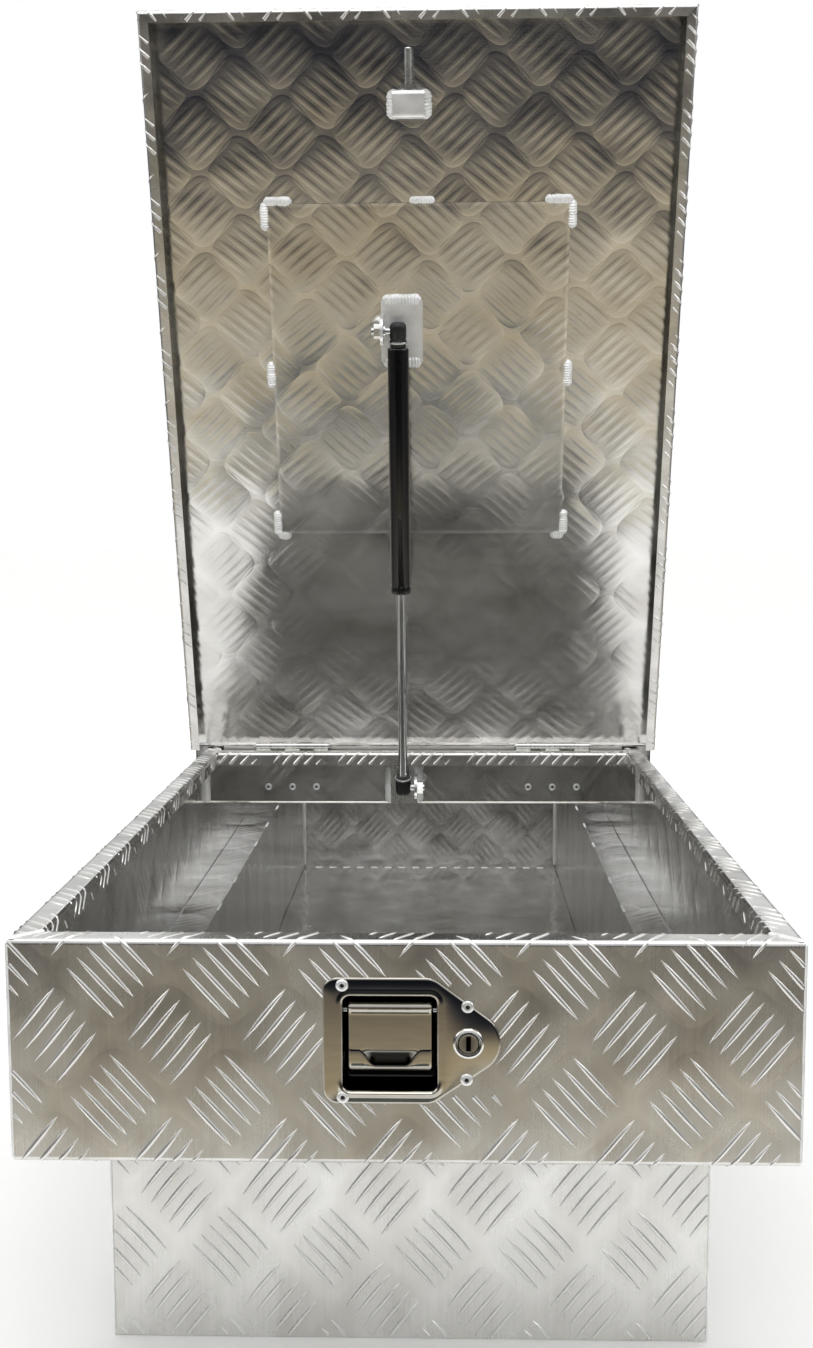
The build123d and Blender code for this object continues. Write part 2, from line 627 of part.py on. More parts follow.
def strut_rod():
    """Polished rod with its piston in the tube."""
    piston = TUBE_FOOT + GLAND_SEAT + 1
    rod = post(LOWER_SOCKET, piston + PISTON_LENGTH + 1, ROD_R)
    return rod + post(piston, piston + PISTON_LENGTH, TUBE_R - TUBE_WALL - PIN_FIT)


def ball_socket(inner_end, stud_side):
    """Moulded ball socket along the strut, open towards the stud."""
    body = post(-SOCKET_TAIL, inner_end, SOCKET_R)
    body = fillet(body.edges().group_by(Axis.Z)[0], SOCKET_ROUND)
    pocket = Sphere(BALL_R + PIN_FIT) + rod_x(0, stud_side * 12, 0, 0, BALL_R + PIN_FIT)
    return body - pocket


def lower_socket():
    """Lower socket with its spring clip round the neck, as two solids."""
    socket = ball_socket(LOWER_SOCKET, 1)
    clip_top = LOWER_SOCKET - 1.6
    clip = post(clip_top - CLIP_T, clip_top, CLIP_R) - post(clip_top - CLIP_T - 1, clip_top + 1, SOCKET_R)
    return solids([placed_strut(socket), placed_strut(clip)])


def upper_socket():
    """Upper socket; the ball sits in it and rides with the tube."""
    return placed_strut(Pos(0, 0, STRUT_OPEN) * Rot(X=180) * ball_socket(UPPER_SOCKET, -1))


def upper_ball():
    """Upper ball and neck, which stops just short of the bracket's ear."""
    ear_face = upper_bracket_base()[0] + BRACKET_T
    end = STRUT_X - ear_face - UPPER_BALL_GAP
    ball = ball_stud([(end - 2.0, BALL_NECK_R), (end, 6.0)])
    return placed_strut(Pos(0, 0, STRUT_OPEN) * Rot(Z=180) * ball)


def lower_bracket():
    """Lower strut bracket on the bridge: base plate and rounded ear."""
    ear = STRUT_X + LOWER_EAR
    half = LOWER_EAR_R
    face_y = -STRIP_Y - BRACKET_T
    bracket = block(STRUT_X - LOWER_BASE, ear, face_y, -STRIP_Y, CHANNEL_Z + 1, RIM_Z - RIM_RETURN - 3)
    bracket += block(ear - BRACKET_T, ear, BALL_LOW_Y, face_y, BALL_LOW_Z - half, BALL_LOW_Z + half)
    bracket += rod_x(ear - BRACKET_T, ear, BALL_LOW_Y, BALL_LOW_Z, half)
    return bracket - rod_x(ear - BRACKET_T - 1, ear + 1, BALL_LOW_Y, BALL_LOW_Z, STUD_R + STUD_FIT)


def lower_stud():
    """Lower ball stud with its nut beyond the ear."""
    ear = STRUT_X + LOWER_EAR
    stud = ball_stud([(LOWER_EAR - BRACKET_T, BALL_NECK_R), (LOWER_EAR + NUT_T + 1.5, STUD_R)])
    stud = Pos(STRUT_X, BALL_LOW_Y, BALL_LOW_Z) * stud
    return stud + hex_x(ear, ear + NUT_T, BALL_LOW_Y, BALL_LOW_Z, NUT_FLATS)


def lower_bracket_welds():
    """Two welds beside the lower bracket's base."""
    height = (CHANNEL_Z + 3, RIM_Z - RIM_RETURN - 4)
    welds = []
    for x, way in ((STRUT_X - LOWER_BASE, -1), (STRUT_X + LOWER_EAR, 1)):
        foot = (x + way * WELD_WIDTH, -STRIP_Y)
        welds.append(plan([(x, -STRIP_Y), foot, (x, -STRIP_Y - BRACKET_T)], *height))
    return welds


# ---- latch ----------------------------------------------------------------------
def latch_faceplate():
    """Pressed stainless face plate with its finger cup."""
    middle = RIM_Z - PLATE_TOP_DROP - PLATE_HEIGHT / 2
    arc_r = PLATE_HEIGHT / 2
    arc_x = PLATE_LEFT + PLATE_WIDTH - arc_r
    left = Pos(PLATE_LEFT + (arc_x - PLATE_LEFT) / 2, middle) * Rectangle(arc_x - PLATE_LEFT, PLATE_HEIGHT)
    left = fillet(left.vertices().group_by(Axis.X)[0], PLATE_CORNER)
    outline = left + Pos(arc_x, middle) * Circle(arc_r)
    front = END_Y - PLATE_T
    plate = along_y(outline, front, END_Y)
    plate = chamfer(plate.faces().sort_by(Axis.Y)[0].edges(), 0.5)
    x = CUP_LEFT + CUP_WIDTH / 2
    z = RIM_Z - CUP_TOP_DROP - CUP_HEIGHT / 2
    inside = Pos(x, z) * RectangleRounded(CUP_WIDTH, CUP_HEIGHT, CUP_CORNER)
    outside = Pos(x, z) * RectangleRounded(CUP_WIDTH + 2 * CUP_WALL, CUP_HEIGHT + 2 * CUP_WALL,
                                           CUP_CORNER + CUP_WALL)
    plate += along_y(outside, END_Y, END_Y + CUP_DEPTH)
    plate -= along_y(inside, front - 1, END_Y + CUP_DEPTH - CUP_WALL)
    plate -= rod_x(CUP_LEFT - 5, CUP_LEFT + CUP_WIDTH + 5, PADDLE_PIN_Y, PADDLE_PIN_Z, PADDLE_PIN_R + 0.02)
    plate -= rod_y(LOCK_X, front - 1, END_Y + 1, LOCK_Z, LOCK_RING_R - 1.5 + 0.02)
    for rx, rz in latch_rivet_places():
        plate -= rod_y(rx, front - 1, END_Y + 1, rz, RIVET_R + PIN_FIT)
    return plate


def latch_rivets():
    """Rivets that hold the face plate to the end panel."""
    grip = PLATE_T + SHEET
    return [blind_rivet_y(x, END_Y - PLATE_T, z, grip) for x, z in latch_rivet_places()]


def paddle_pin():
    """Pin across the cup."""
    return rod_x(CUP_LEFT - CUP_WALL - 1, CUP_LEFT + CUP_WIDTH + CUP_WALL + 1,
                 PADDLE_PIN_Y, PADDLE_PIN_Z, PADDLE_PIN_R)


def paddle():
    """Bent paddle with a pressed finger scoop and two cheeks on the pin."""
    half = PADDLE_WIDTH / 2
    front = END_Y + 3.0
    top = RIM_Z - PADDLE_TOP_DROP
    step = RIM_Z - PADDLE_STEP_DROP
    foot = RIM_Z - PADDLE_FOOT_DROP
    face = bent_sheet([(front + 5.5, top), (front, top - 3.5), (front, step), (front - 1.2, foot)],
                      side=1, thickness=PADDLE_T, bend=0.8)
    shape = along_x(face, PADDLE_X - half, PADDLE_X + half)
    back = front + PADDLE_T
    for x0 in (PADDLE_X - half, PADDLE_X + half - PADDLE_T):
        shape += block(x0, x0 + PADDLE_T, back, PADDLE_PIN_Y, PADDLE_PIN_Z - 16, PADDLE_PIN_Z + CHEEK_R)
        shape += rod_x(x0, x0 + PADDLE_T, PADDLE_PIN_Y, PADDLE_PIN_Z, CHEEK_R)
    scoop = [(-20, step), (20, step), (10.5, foot + 2.6), (-10.5, foot + 2.6)]
    scoop = Pos(PADDLE_X, 0) * make_face(Polyline(*scoop, close=True))
    shape -= along_y(scoop, front - 3, front + 0.6)
    return shape - rod_x(PADDLE_X - half - 1, PADDLE_X + half + 1, PADDLE_PIN_Y, PADDLE_PIN_Z,
                         PADDLE_PIN_R + PIN_FIT)


def paddle_spring():
    """Outer shape of the return spring coiled round the pin."""
    x0 = PADDLE_X - SPRING_HALF
    x1 = PADDLE_X + SPRING_HALF
    coil = rod_x(x0, x1, PADDLE_PIN_Y, PADDLE_PIN_Z, PADDLE_PIN_R + SPRING_WIRE)
    return coil - rod_x(x0 - 1, x1 + 1, PADDLE_PIN_Y, PADDLE_PIN_Z, PADDLE_PIN_R + 0.5)


def lock_barrel():
    """Key lock's fixed barrel with its face ring and rear nut."""
    ring_front = END_Y - PLATE_T - LOCK_RING_T
    back = END_Y + BARREL_REACH
    barrel = rod_y(LOCK_X, ring_front, END_Y - PLATE_T, LOCK_Z, LOCK_RING_R)
    barrel = chamfer(barrel.edges().group_by(Axis.Y)[0], 0.7)
    barrel += rod_y(LOCK_X, END_Y - PLATE_T, back, LOCK_Z, LOCK_RING_R - 1.5)
    barrel += hex_y(LOCK_X, END_Y + SHEET, END_Y + SHEET + 4, LOCK_Z, 24.0)
    return barrel - rod_y(LOCK_X, ring_front - 1, back + 1, LOCK_Z, PLUG_R + PIN_FIT)


def lock_plug():
    """Key plug with its keyway and the blocking cam behind."""
    front = END_Y - PLATE_T - LOCK_RING_T + 0.3
    back = END_Y + BARREL_REACH + 0.3
    plug = rod_y(LOCK_X, front, back, LOCK_Z, PLUG_R)
    plug -= block(LOCK_X - 1.2, LOCK_X + 1.2, front - 1, front + 9, LOCK_Z - 4.6, LOCK_Z + 4.6)
    cam = block(LOCK_X - 5, LOCK_X + 5, back, back + 2, LOCK_Z - 20, LOCK_Z + 5)
    return plug + cam + rod_y(LOCK_X, back + 2, back + 4.5, LOCK_Z, 4.5)


def latch_housing():
    """Cased catch behind the end panel, slotted from above for the striker."""
    x0 = STRIKER_X - HOUSING_HALF_X
    x1 = STRIKER_X + HOUSING_HALF_X
    top = RIM_Z - HOUSING_TOP_DROP
    foot = RIM_Z - HOUSING_FOOT_DROP
    case = block(x0, x1, HOUSING_Y0, HOUSING_Y1, foot, top)
    case = fillet(case.edges().filter_by(Axis.Y), 4.0)
    case += block(x0 + 6, x1 - 6, END_Y + CUP_DEPTH, HOUSING_Y0, foot + 2, foot + 30)
    case -= rod_y(STRIKER_X, CATCH_Y0 - 0.25, CATCH_Y1 + 0.25, STRIKER_Z, CATCH_R + 0.08)
    case -= rod_y(STRIKER_X, HOUSING_Y0 - 1, HOUSING_Y1 + 1, STRIKER_Z, CATCH_BORE_R + 0.2)
    slot = CATCH_BORE_R + 0.2
    mouth = (STRIKER_X - slot, STRIKER_X + slot)
    return case - block(*mouth, HOUSING_Y0 - 1, HOUSING_Y1 + 1, STRIKER_Z, top + 1)


def catch():
    """C-shaped catch, its mouth upwards while it is released."""
    ring = rod_y(STRIKER_X, CATCH_Y0, CATCH_Y1, STRIKER_Z, CATCH_R)
    ring -= rod_y(STRIKER_X, CATCH_Y0 - 1, CATCH_Y1 + 1, STRIKER_Z, CATCH_BORE_R)
    return ring - block(STRIKER_X - CATCH_BORE_R, STRIKER_X + CATCH_BORE_R, CATCH_Y0 - 1, CATCH_Y1 + 1,
                        STRIKER_Z, STRIKER_Z + CATCH_R + 1)


# ---- nodes ----------------------------------------------------------------------
def body_nodes():
    """Everything that stays still."""
    right = side_panel()
    near = end_panel()
    near_wall = tub_end()
    plate = latch_faceplate()
    barrel = lock_barrel()
    return {
        "right_side_panel": right,
        "left_side_panel": turned(right),
        "near_end_panel": near,
        "far_end_panel": turned(near),
        "tub": tub(),
        "near_tub_end": near_wall,
        "far_tub_end": turned(near_wall),
        "bridge_channel": bridge_channel(),
        "bridge_cap": bridge_cap(),
        "body_weld_beads": solids([body_weld_beads(), both_ends(lower_bracket_welds())]),
        "hinge_fixed_leaves": both_ends(hinge_set(hinge_leaf(moving=False))),
        "hinge_pins": both_ends(hinge_set(hinge_pin())),
        "hinge_rivets": both_ends(hinge_rivets()),
        "strut_lower_brackets": both_ends([lower_bracket()]),
        "strut_lower_studs": both_ends([lower_stud()]),
        "latch_faceplates": both_ends([plate]),
        "latch_rivets": both_ends(latch_rivets()),
        "latch_housings": both_ends([latch_housing()]),
        "lock_barrels": both_ends([barrel]),
        "paddle_pins": both_ends([paddle_pin()]),
        "paddle_springs": both_ends([paddle_spring()]),
    }


def moving_nodes():
    """One lid's moving pieces and one latch's, for the near end."""
    return {
        "lid_pan": opened(lid_pan()),
        "lid_stiffener": opened(lid_stiffener()),
        "lid_welds": solids([opened(weld) for weld in lid_welds().solids()]),
        "hinge_moving_leaves": solids([opened(leaf) for leaf in hinge_set(hinge_leaf(moving=True))]),
        "strut_upper_bracket": opened(upper_bracket()),
        "strut_upper_nut": opened(upper_stud_nut()),
        "striker_bracket": opened(striker_bracket()),
        "striker_bolt": opened(striker_bolt()),
        "striker_nut": opened(striker_nut()),
        "strut_tube": placed_strut(strut_tube()),
        "strut_gland": placed_strut(strut_gland()),
        "strut_upper_socket": upper_socket(),
        "strut_upper_ball": upper_ball(),
        "strut_rod": placed_strut(strut_rod()),
        "strut_lower_socket": lower_socket(),
        "paddle": paddle(),
        "lock_plug": lock_plug(),
        "catch": catch(),
    }


def write_node(name, shape):
    """Write one node as a STEP file."""
    export_step(shape, f"parts/{name}.step")


def main():
    os.makedirs("parts", exist_ok=True)
    for name, shape in body_nodes().items():
        write_node(name, shape)
    for name, shape in moving_nodes().items():
        write_node(f"near_{name}", shape)
        write_node(f"far_{name}", solids([turned(piece) for piece in shape.solids()]))
    swing = STRUT_LEAN_SHUT - STRUT_LEAN
    print(f"strut {STRUT_OPEN:.2f} open, {STRUT_SHUT:.2f} shut, leans {STRUT_LEAN:.3f}")
    print(f"upper ball {BALL_OPEN_Y:.3f}, {BALL_OPEN_Z:.3f}")
    print(f"rod turns {swing / LID_OPEN:.5f} of the lid, slides "
          f"{(STRUT_OPEN - STRUT_SHUT) / 1000 / radians(LID_OPEN):.5f} m per radian")


main()
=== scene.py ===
"""Gull-wing crossover tool box in five-bar aluminium tread plate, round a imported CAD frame."""
import json
import math

import bpy
import numpy as np
from mathutils import Matrix, Vector
from mathutils.geometry import convex_hull_2d


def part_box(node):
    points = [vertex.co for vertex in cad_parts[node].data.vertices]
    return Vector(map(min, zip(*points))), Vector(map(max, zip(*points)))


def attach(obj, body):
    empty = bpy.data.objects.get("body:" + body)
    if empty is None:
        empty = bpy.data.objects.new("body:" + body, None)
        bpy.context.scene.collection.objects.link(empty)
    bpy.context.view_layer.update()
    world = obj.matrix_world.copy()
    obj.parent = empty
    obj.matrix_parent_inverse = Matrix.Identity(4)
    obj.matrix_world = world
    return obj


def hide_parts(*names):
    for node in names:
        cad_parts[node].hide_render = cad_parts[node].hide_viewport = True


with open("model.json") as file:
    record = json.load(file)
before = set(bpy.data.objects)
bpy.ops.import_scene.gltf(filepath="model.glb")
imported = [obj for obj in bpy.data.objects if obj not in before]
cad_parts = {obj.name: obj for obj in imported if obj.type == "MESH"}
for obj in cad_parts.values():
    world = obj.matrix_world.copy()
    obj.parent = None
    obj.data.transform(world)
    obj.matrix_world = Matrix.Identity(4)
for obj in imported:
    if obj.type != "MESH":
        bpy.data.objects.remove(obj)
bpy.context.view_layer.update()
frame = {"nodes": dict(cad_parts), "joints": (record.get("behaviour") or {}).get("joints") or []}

bl_info = {
    "name": "Tread plate tool box",
    "version": (1, 0, 0),
    "blender": (4, 5, 0),
    "location": "View3D > Sidebar > Tool box",
    "description": "Builds a crossover tool box with two gull-wing lids in bent tread plate",
    "category": "Add Mesh",
}

MM = 0.001


# ---- measures read from the frame, in millimetres -------------------------------
def vertices_mm(node):
    """A CAD node's vertices as an array of rows, in millimetres."""
    mesh = frame["nodes"][node].data
    flat = np.zeros(len(mesh.vertices) * 3)
    mesh.vertices.foreach_get("co", flat)
    return flat.reshape(-1, 3) / MM


def corners(points):
    """Lowest and highest corner of some points."""
    return points.min(axis=0), points.max(axis=0)


def box_mm(node):
    """Lowest and highest corner of a CAD node, in millimetres."""
    low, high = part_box(node)
    return np.array(low) / MM, np.array(high) / MM


JOINTS = {joint["name"]: joint for joint in frame["joints"]}
HINGE_Y, HINGE_Z = (value / MM for value in JOINTS["near_lid_hinge"]["pos_m"][1:])
LID_OPEN = -JOINTS["near_lid_hinge"]["range_deg"][0]


def swing(points, angle):
    """Points turned about the near lid's hinge line: the usual turn of a plane, with the
    cosine and sine of the angle applied to Y and Z."""
    turn = math.radians(angle)
    dy = points[..., 1] - HINGE_Y
    dz = points[..., 2] - HINGE_Z
    return np.stack([points[..., 0], HINGE_Y + dy * math.cos(turn) - dz * math.sin(turn),
                     HINGE_Z + dy * math.sin(turn) + dz * math.cos(turn)], axis=-1)


def shut_box(node):
    """Corners of a near lid's node with the lid turned shut."""
    return corners(swing(vertices_mm(node), LID_OPEN))


def near_box(node):
    """Corners of the near half of a node that has a twin at the far end."""
    points = vertices_mm(node)
    return corners(points[points[:, 1] < 0])


SIDE_LOW, SIDE_HIGH = box_mm("right_side_panel")
HALF_W, HALF_L, RIM_Z = SIDE_HIGH
HALF_TUB, SHELF_Z = SIDE_LOW[0], SIDE_LOW[2]
END_Y = -HALF_L
TUB_END_LOW, TUB_END_HIGH = box_mm("near_tub_end")
SHEET = TUB_END_HIGH[1] - TUB_END_LOW[1]
TUB_Y = TUB_END_HIGH[1]
TUB_TOP = TUB_END_HIGH[2]
BRIDGE_LOW, BRIDGE_HIGH = box_mm("bridge_channel")
CAP_LOW, CAP_HIGH = box_mm("bridge_cap")
PAN_LOW, PAN_HIGH = shut_box("near_lid_pan")
BEND = 2.0
LEDGE = 20.0
RETURN = 15.0
LID_LIP = 10.5
CAP_LIP = CAP_HIGH[0] - HALF_W
OUTER_BEND = BEND + SHEET

# Tread pattern in the unrolled sheet: two groups of five bars in each cell. Each group
# has its centre, the bars' direction, the way from bar to bar, the step and the slip.
CELL = (74.1, 84.9)
BAR_MARGIN = 1.5
SHORTEST_BAR = 5.0
BAR_GROUPS = (
    ((0.0, 0.0), (0.669, 0.743), (0.743, -0.669), 9.5, -0.85),
    ((-37.0, 42.5), (0.624, -0.781), (0.781, 0.624), 9.7, -1.65),
)


# ---- meshes ---------------------------------------------------------------------
def face_normals(points, faces):
    """Unit normals: the cross product of a quad's diagonals or a triangle's sides."""
    last = faces.shape[1] - 1
    first = points[faces[:, 2]] - points[faces[:, 0]]
    second = points[faces[:, last]] - points[faces[:, 1]]
    normal = np.cross(first, second)
    return normal / np.maximum(np.linalg.norm(normal, axis=1), 1e-12)[:, None]


def facing(points, faces, hint):
    """The faces with their order turned round wherever they face against the hint."""
    against = np.einsum("ij,ij->i", face_normals(points, faces), hint) < 0
    return np.where(against[:, None], faces[:, ::-1], faces)


def grid_faces(rows, columns):
    """Quads between neighbouring rows and columns of a grid of points."""
    index = np.arange(rows * columns).reshape(rows, columns)
    return np.stack([index[:-1, :-1], index[1:, :-1], index[1:, 1:], index[:-1, 1:]], axis=-1)


class Skin:
    """Patches of one piece, kept as arrays until the mesh is made."""

    def __init__(self):
        self.points, self.sheet_mm, self.bar, self.back = [], [], [], []
        self.faces, self.normals = [], []
        self.count = 0

    def add(self, points, groups, sheet_mm=None, bar=0.0, back=0.0):
        """Adds points and groups of faces. A group is (faces, hint, vertex normals or None):
        faces follow the hint, and without vertex normals each keeps its own."""
        points = np.asarray(points, float).reshape(-1, 3)
        size = len(points)
        self.points.append(points)
        self.sheet_mm.append(np.zeros((size, 2)) if sheet_mm is None else sheet_mm.reshape(-1, 2))
        self.bar.append(np.broadcast_to(bar, size))
        self.back.append(np.broadcast_to(back, size))
        for faces, hint, normals in groups:
            faces = faces.reshape(-1, faces.shape[-1])
            if not len(faces):
                continue
            faces = facing(points, faces, np.broadcast_to(hint, (len(faces), 3)))
            if normals is None:
                loops = np.repeat(face_normals(points, faces), faces.shape[1], axis=0)
            else:
                loops = normals[faces.ravel()]
            self.faces.append(faces + self.count)
            self.normals.append(loops)
        self.count += size

    def closed(self, points, faces_list, **marks):
        """Adds a closed form, turned inside out if its signed volume is negative: the sum
        over its faces of corner dot (side cross side)."""
        fans = [f[:, (0, k, k + 1)] for f in faces_list for k in range(1, f.shape[1] - 1)]
        volume = sum((points[a] * np.cross(points[b], points[c])).sum() for a, b, c in
                     (f.T for f in fans))
        if volume < 0:
            faces_list = [f[:, ::-1] for f in faces_list]
        self.add(points, [(f, face_normals(points, f), None) for f in faces_list], **marks)

    def piece(self, name, body, slot, replaces=(), place=None, weld=False, sharp=None, finish=None):
        """Makes the object. place moves the finished points; weld joins equal points; a
        sharp angle in degrees smooths by angle instead of the stored normals."""
        points = np.concatenate(self.points)
        normals = np.concatenate(self.normals)
        if place is not None:
            tips = place(np.zeros((1, 3)))
            normals = place(normals) - tips
            points = place(points)
        source = np.arange(len(points))
        remap = source
        if weld:
            keys = np.round(points, 3)
            _, source, remap = np.unique(keys, axis=0, return_index=True, return_inverse=True)
            remap = remap.ravel()
        sizes = np.concatenate([np.full(len(f), f.shape[1]) for f in self.faces])
        loops = remap[np.concatenate([f.ravel() for f in self.faces])]
        mesh = bpy.data.meshes.new(name)
        mesh.vertices.add(len(source))
        mesh.vertices.foreach_set("co", (points[source] * MM).astype(np.float32).ravel())
        mesh.loops.add(len(loops))
        mesh.loops.foreach_set("vertex_index", loops.astype(np.int32))
        mesh.polygons.add(len(sizes))
        starts = np.concatenate([[0], np.cumsum(sizes)[:-1]])
        mesh.polygons.foreach_set("loop_start", starts.astype(np.int32))
        mesh.update(calc_edges=True)
        layer = mesh.uv_layers.new(name="sheet_mm")
        every_loop = np.concatenate([f.ravel() for f in self.faces])
        flat = np.concatenate(self.sheet_mm)[every_loop]
        layer.data.foreach_set("uv", flat.astype(np.float32).ravel())
        for label, values in (("bar", self.bar), ("back", self.back)):
            mark = mesh.attributes.new(label, "FLOAT", "POINT")
            mark.data.foreach_set("value", np.concatenate(values)[source].astype(np.float32))
        mesh.polygons.foreach_set("use_smooth", np.ones(len(sizes), bool))
        if sharp is None:
            mesh.normals_split_custom_set(normals)
        else:
            mesh.set_sharp_from_angle(angle=math.radians(sharp))
        mesh.materials.append(FINISHES[finish or slot])
        piece = bpy.data.objects.new(name, mesh)
        bpy.context.scene.collection.objects.link(piece)
        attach(piece, body)
        if replaces:
            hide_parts(*replaces)
        return piece


def half_turn(points):
    """Points turned half a turn about Z: X and Y change sign."""
    return points * np.array([-1.0, -1.0, 1.0])


def opened(points):
    """Points of the shut near lid, turned open."""
    return swing(points, -LID_OPEN)


def far_opened(points):
    """Points of the shut near lid, turned open and then to the far end."""
    return half_turn(opened(points))


def double(skin, outer, inner, normal=None, sheet_mm=None, gone=None, shut=(1, 1, 1, 1), bar=None):
    """A closed sheet between two grids of points: both surfaces, strips along the first and
    last row and column where shut says so, and walls round the cells that are gone."""
    rows, columns = outer.shape[:2]
    size = rows * columns
    points = np.concatenate([outer.reshape(-1, 3), inner.reshape(-1, 3)])
    index = np.arange(size).reshape(rows, columns)
    cells = grid_faces(rows, columns)
    keep = np.ones((rows - 1, columns - 1), bool) if gone is None else ~gone
    through = (outer - inner).reshape(-1, 3)
    smooth = None if normal is None else np.concatenate([normal, -normal])
    front = cells[keep]
    groups = [(front, through[front[:, 0]], smooth), (front + size, -through[front[:, 0]], smooth)]

    def strip(line, beyond):
        faces = np.stack([line[:-1], line[1:], line[1:] + size, line[:-1] + size], axis=-1)
        return faces, points[line[:-1]] - points[beyond[:-1]], None

    borders = ((index[0], index[1]), (index[-1], index[-2]),
               (index[:, 0], index[:, 1]), (index[:, -1], index[:, -2]))
    groups += [strip(*border) for border, wanted in zip(borders, shut) if wanted]
    middle = points[cells].mean(axis=2)
    for axis in (0, 1):
        before = keep[:-1] if axis == 0 else keep[:, :-1]
        after = keep[1:] if axis == 0 else keep[:, 1:]
        i, j = np.nonzero(before != after)
        if axis == 0:
            a, b = index[i + 1, j], index[i + 1, j + 1]
            way = middle[i + 1, j] - middle[i, j]
        else:
            a, b = index[i, j + 1], index[i + 1, j + 1]
            way = middle[i, j + 1] - middle[i, j]
        sign = np.where(before[i, j], 1.0, -1.0)[:, None]
        groups.append((np.stack([a, b, b + size, a + size], axis=-1), way * sign, None))
    uv = None if sheet_mm is None else np.concatenate([sheet_mm.reshape(-1, 2)] * 2)
    bar = np.zeros(2 * size) if bar is None else np.tile(np.ravel(bar), 2)
    skin.add(points, groups, uv, bar=bar, back=np.repeat([0.0, 1.0], size))


def lathe(skin, origin, axis, profile, segments=48):
    """A form turned about a line: each profile pair (distance along the line, radius) goes
    round in equal steps, with the poles closed by fans."""
    axis = np.asarray(axis, float) / np.linalg.norm(axis)
    aside = np.cross(axis, [1.0, 0.0, 0.0] if abs(axis[0]) < 0.9 else [0.0, 1.0, 0.0])
    aside /= np.linalg.norm(aside)
    over = np.cross(axis, aside)
    along, radius = np.array(profile, float).T
    angle = np.linspace(0, 2 * np.pi, segments, endpoint=False)
    ring = np.cos(angle)[:, None] * aside + np.sin(angle)[:, None] * over
    body = origin + along[:, None, None] * axis + radius[:, None, None] * ring
    ends = np.array([origin + along[0] * axis, origin + along[-1] * axis])
    ringed(skin, body, ends)


def ringed(skin, rings, ends, painted_shade=None):
    """A closed form through rings of equal length, ended by a fan at each of two points.
    The last argument darkens each ring's colour, painting shade into it."""
    count, segments = rings.shape[:2]
    points = np.concatenate([rings.reshape(-1, 3), ends])
    index = np.arange(count * segments).reshape(count, segments)
    after = np.roll(index, -1, axis=1)
    sides = np.stack([index[:-1], index[1:], after[1:], after[:-1]], axis=-1).reshape(-1, 4)
    first, last = count * segments, count * segments + 1
    fans = np.concatenate([np.stack([np.full(segments, first), index[0], after[0]], axis=-1),
                           np.stack([np.full(segments, last), after[-1], index[-1]], axis=-1)])
    painted_shade = np.zeros(count) if painted_shade is None else np.array(painted_shade)
    skin.closed(points, [sides, fans], bar=np.concatenate([np.repeat(painted_shade, segments), painted_shade[[0, -1]]]))


# ---- bent sheet -----------------------------------------------------------------
class Fold:
    """The section of a bent sheet. Its tread surface runs straight between bends that are
    arcs, and the smooth surface lies one thickness behind along the normal."""
    STEPS = 6

    def __init__(self, points, side, datum, extra=()):
        points = np.array(points, float)
        legs = np.diff(points, axis=0)
        ways = legs / np.linalg.norm(legs, axis=1)[:, None]
        place, heading, length = [points[0]], [ways[0]], [0.0]
        zero = 0.0
        for i, corner in enumerate(points[1:-1], start=1):
            a, b = ways[i - 1], ways[i]
            cross = a[0] * b[1] - a[1] * b[0]
            turn = math.atan2(cross, a @ b)
            radius = OUTER_BEND if side * cross > 0 else BEND
            tangent = radius * math.tan(abs(turn) / 2)
            start = corner - a * tangent
            angle = np.linspace(0, turn, self.STEPS + 1)
            ahead = np.stack([a[0] * np.cos(angle) - a[1] * np.sin(angle),
                              a[0] * np.sin(angle) + a[1] * np.cos(angle)], axis=-1)
            left = np.stack([-ahead[:, 1], ahead[:, 0]], axis=-1) * radius * np.sign(turn)
            begin = length[-1] + np.linalg.norm(start - place[-1])
            place += list(start + left[0] - left)
            heading += list(ahead)
            length += list(begin + radius * np.abs(angle))
            if i == datum:
                zero = length[-1] - tangent
        if np.linalg.norm(points[-1] - place[-1]) > 1e-6:
            length.append(length[-1] + np.linalg.norm(points[-1] - place[-1]))
            place.append(points[-1])
            heading.append(ways[-1])
        heading = np.array(heading)
        self.run = np.array(length) - zero
        self.at = np.array(place)
        self.out = -side * np.stack([-heading[:, 1], heading[:, 0]], axis=-1)
        more = [v for v in extra if np.abs(self.run - v).min() > 1e-6]
        run = np.sort(np.concatenate([self.run, more]))
        self.at, self.out = self.place(run, 0.0), self.way(run)
        self.run = run

    def way(self, run):
        """The unit normal at a distance along the tread surface."""
        out = np.stack([np.interp(run, self.run, self.out[:, k]) for k in (0, 1)], axis=-1)
        return out / np.linalg.norm(out, axis=-1, keepdims=True)

    def place(self, run, height):
        """The point at a distance along the tread surface and a height over it."""
        at = np.stack([np.interp(run, self.run, self.at[:, k]) for k in (0, 1)], axis=-1)
        return at + self.way(run) * np.asarray(height)[..., None]


def along_x(u, section):
    """A section drawn in Y and Z, carried along X."""
    return np.stack([u, section[..., 0] + 0 * u, section[..., 1] + 0 * u], axis=-1)


def along_y(u, section):
    """A section drawn in X and Z, carried along Y."""
    return np.stack([section[..., 0] + 0 * u, u, section[..., 1] + 0 * u], axis=-1)


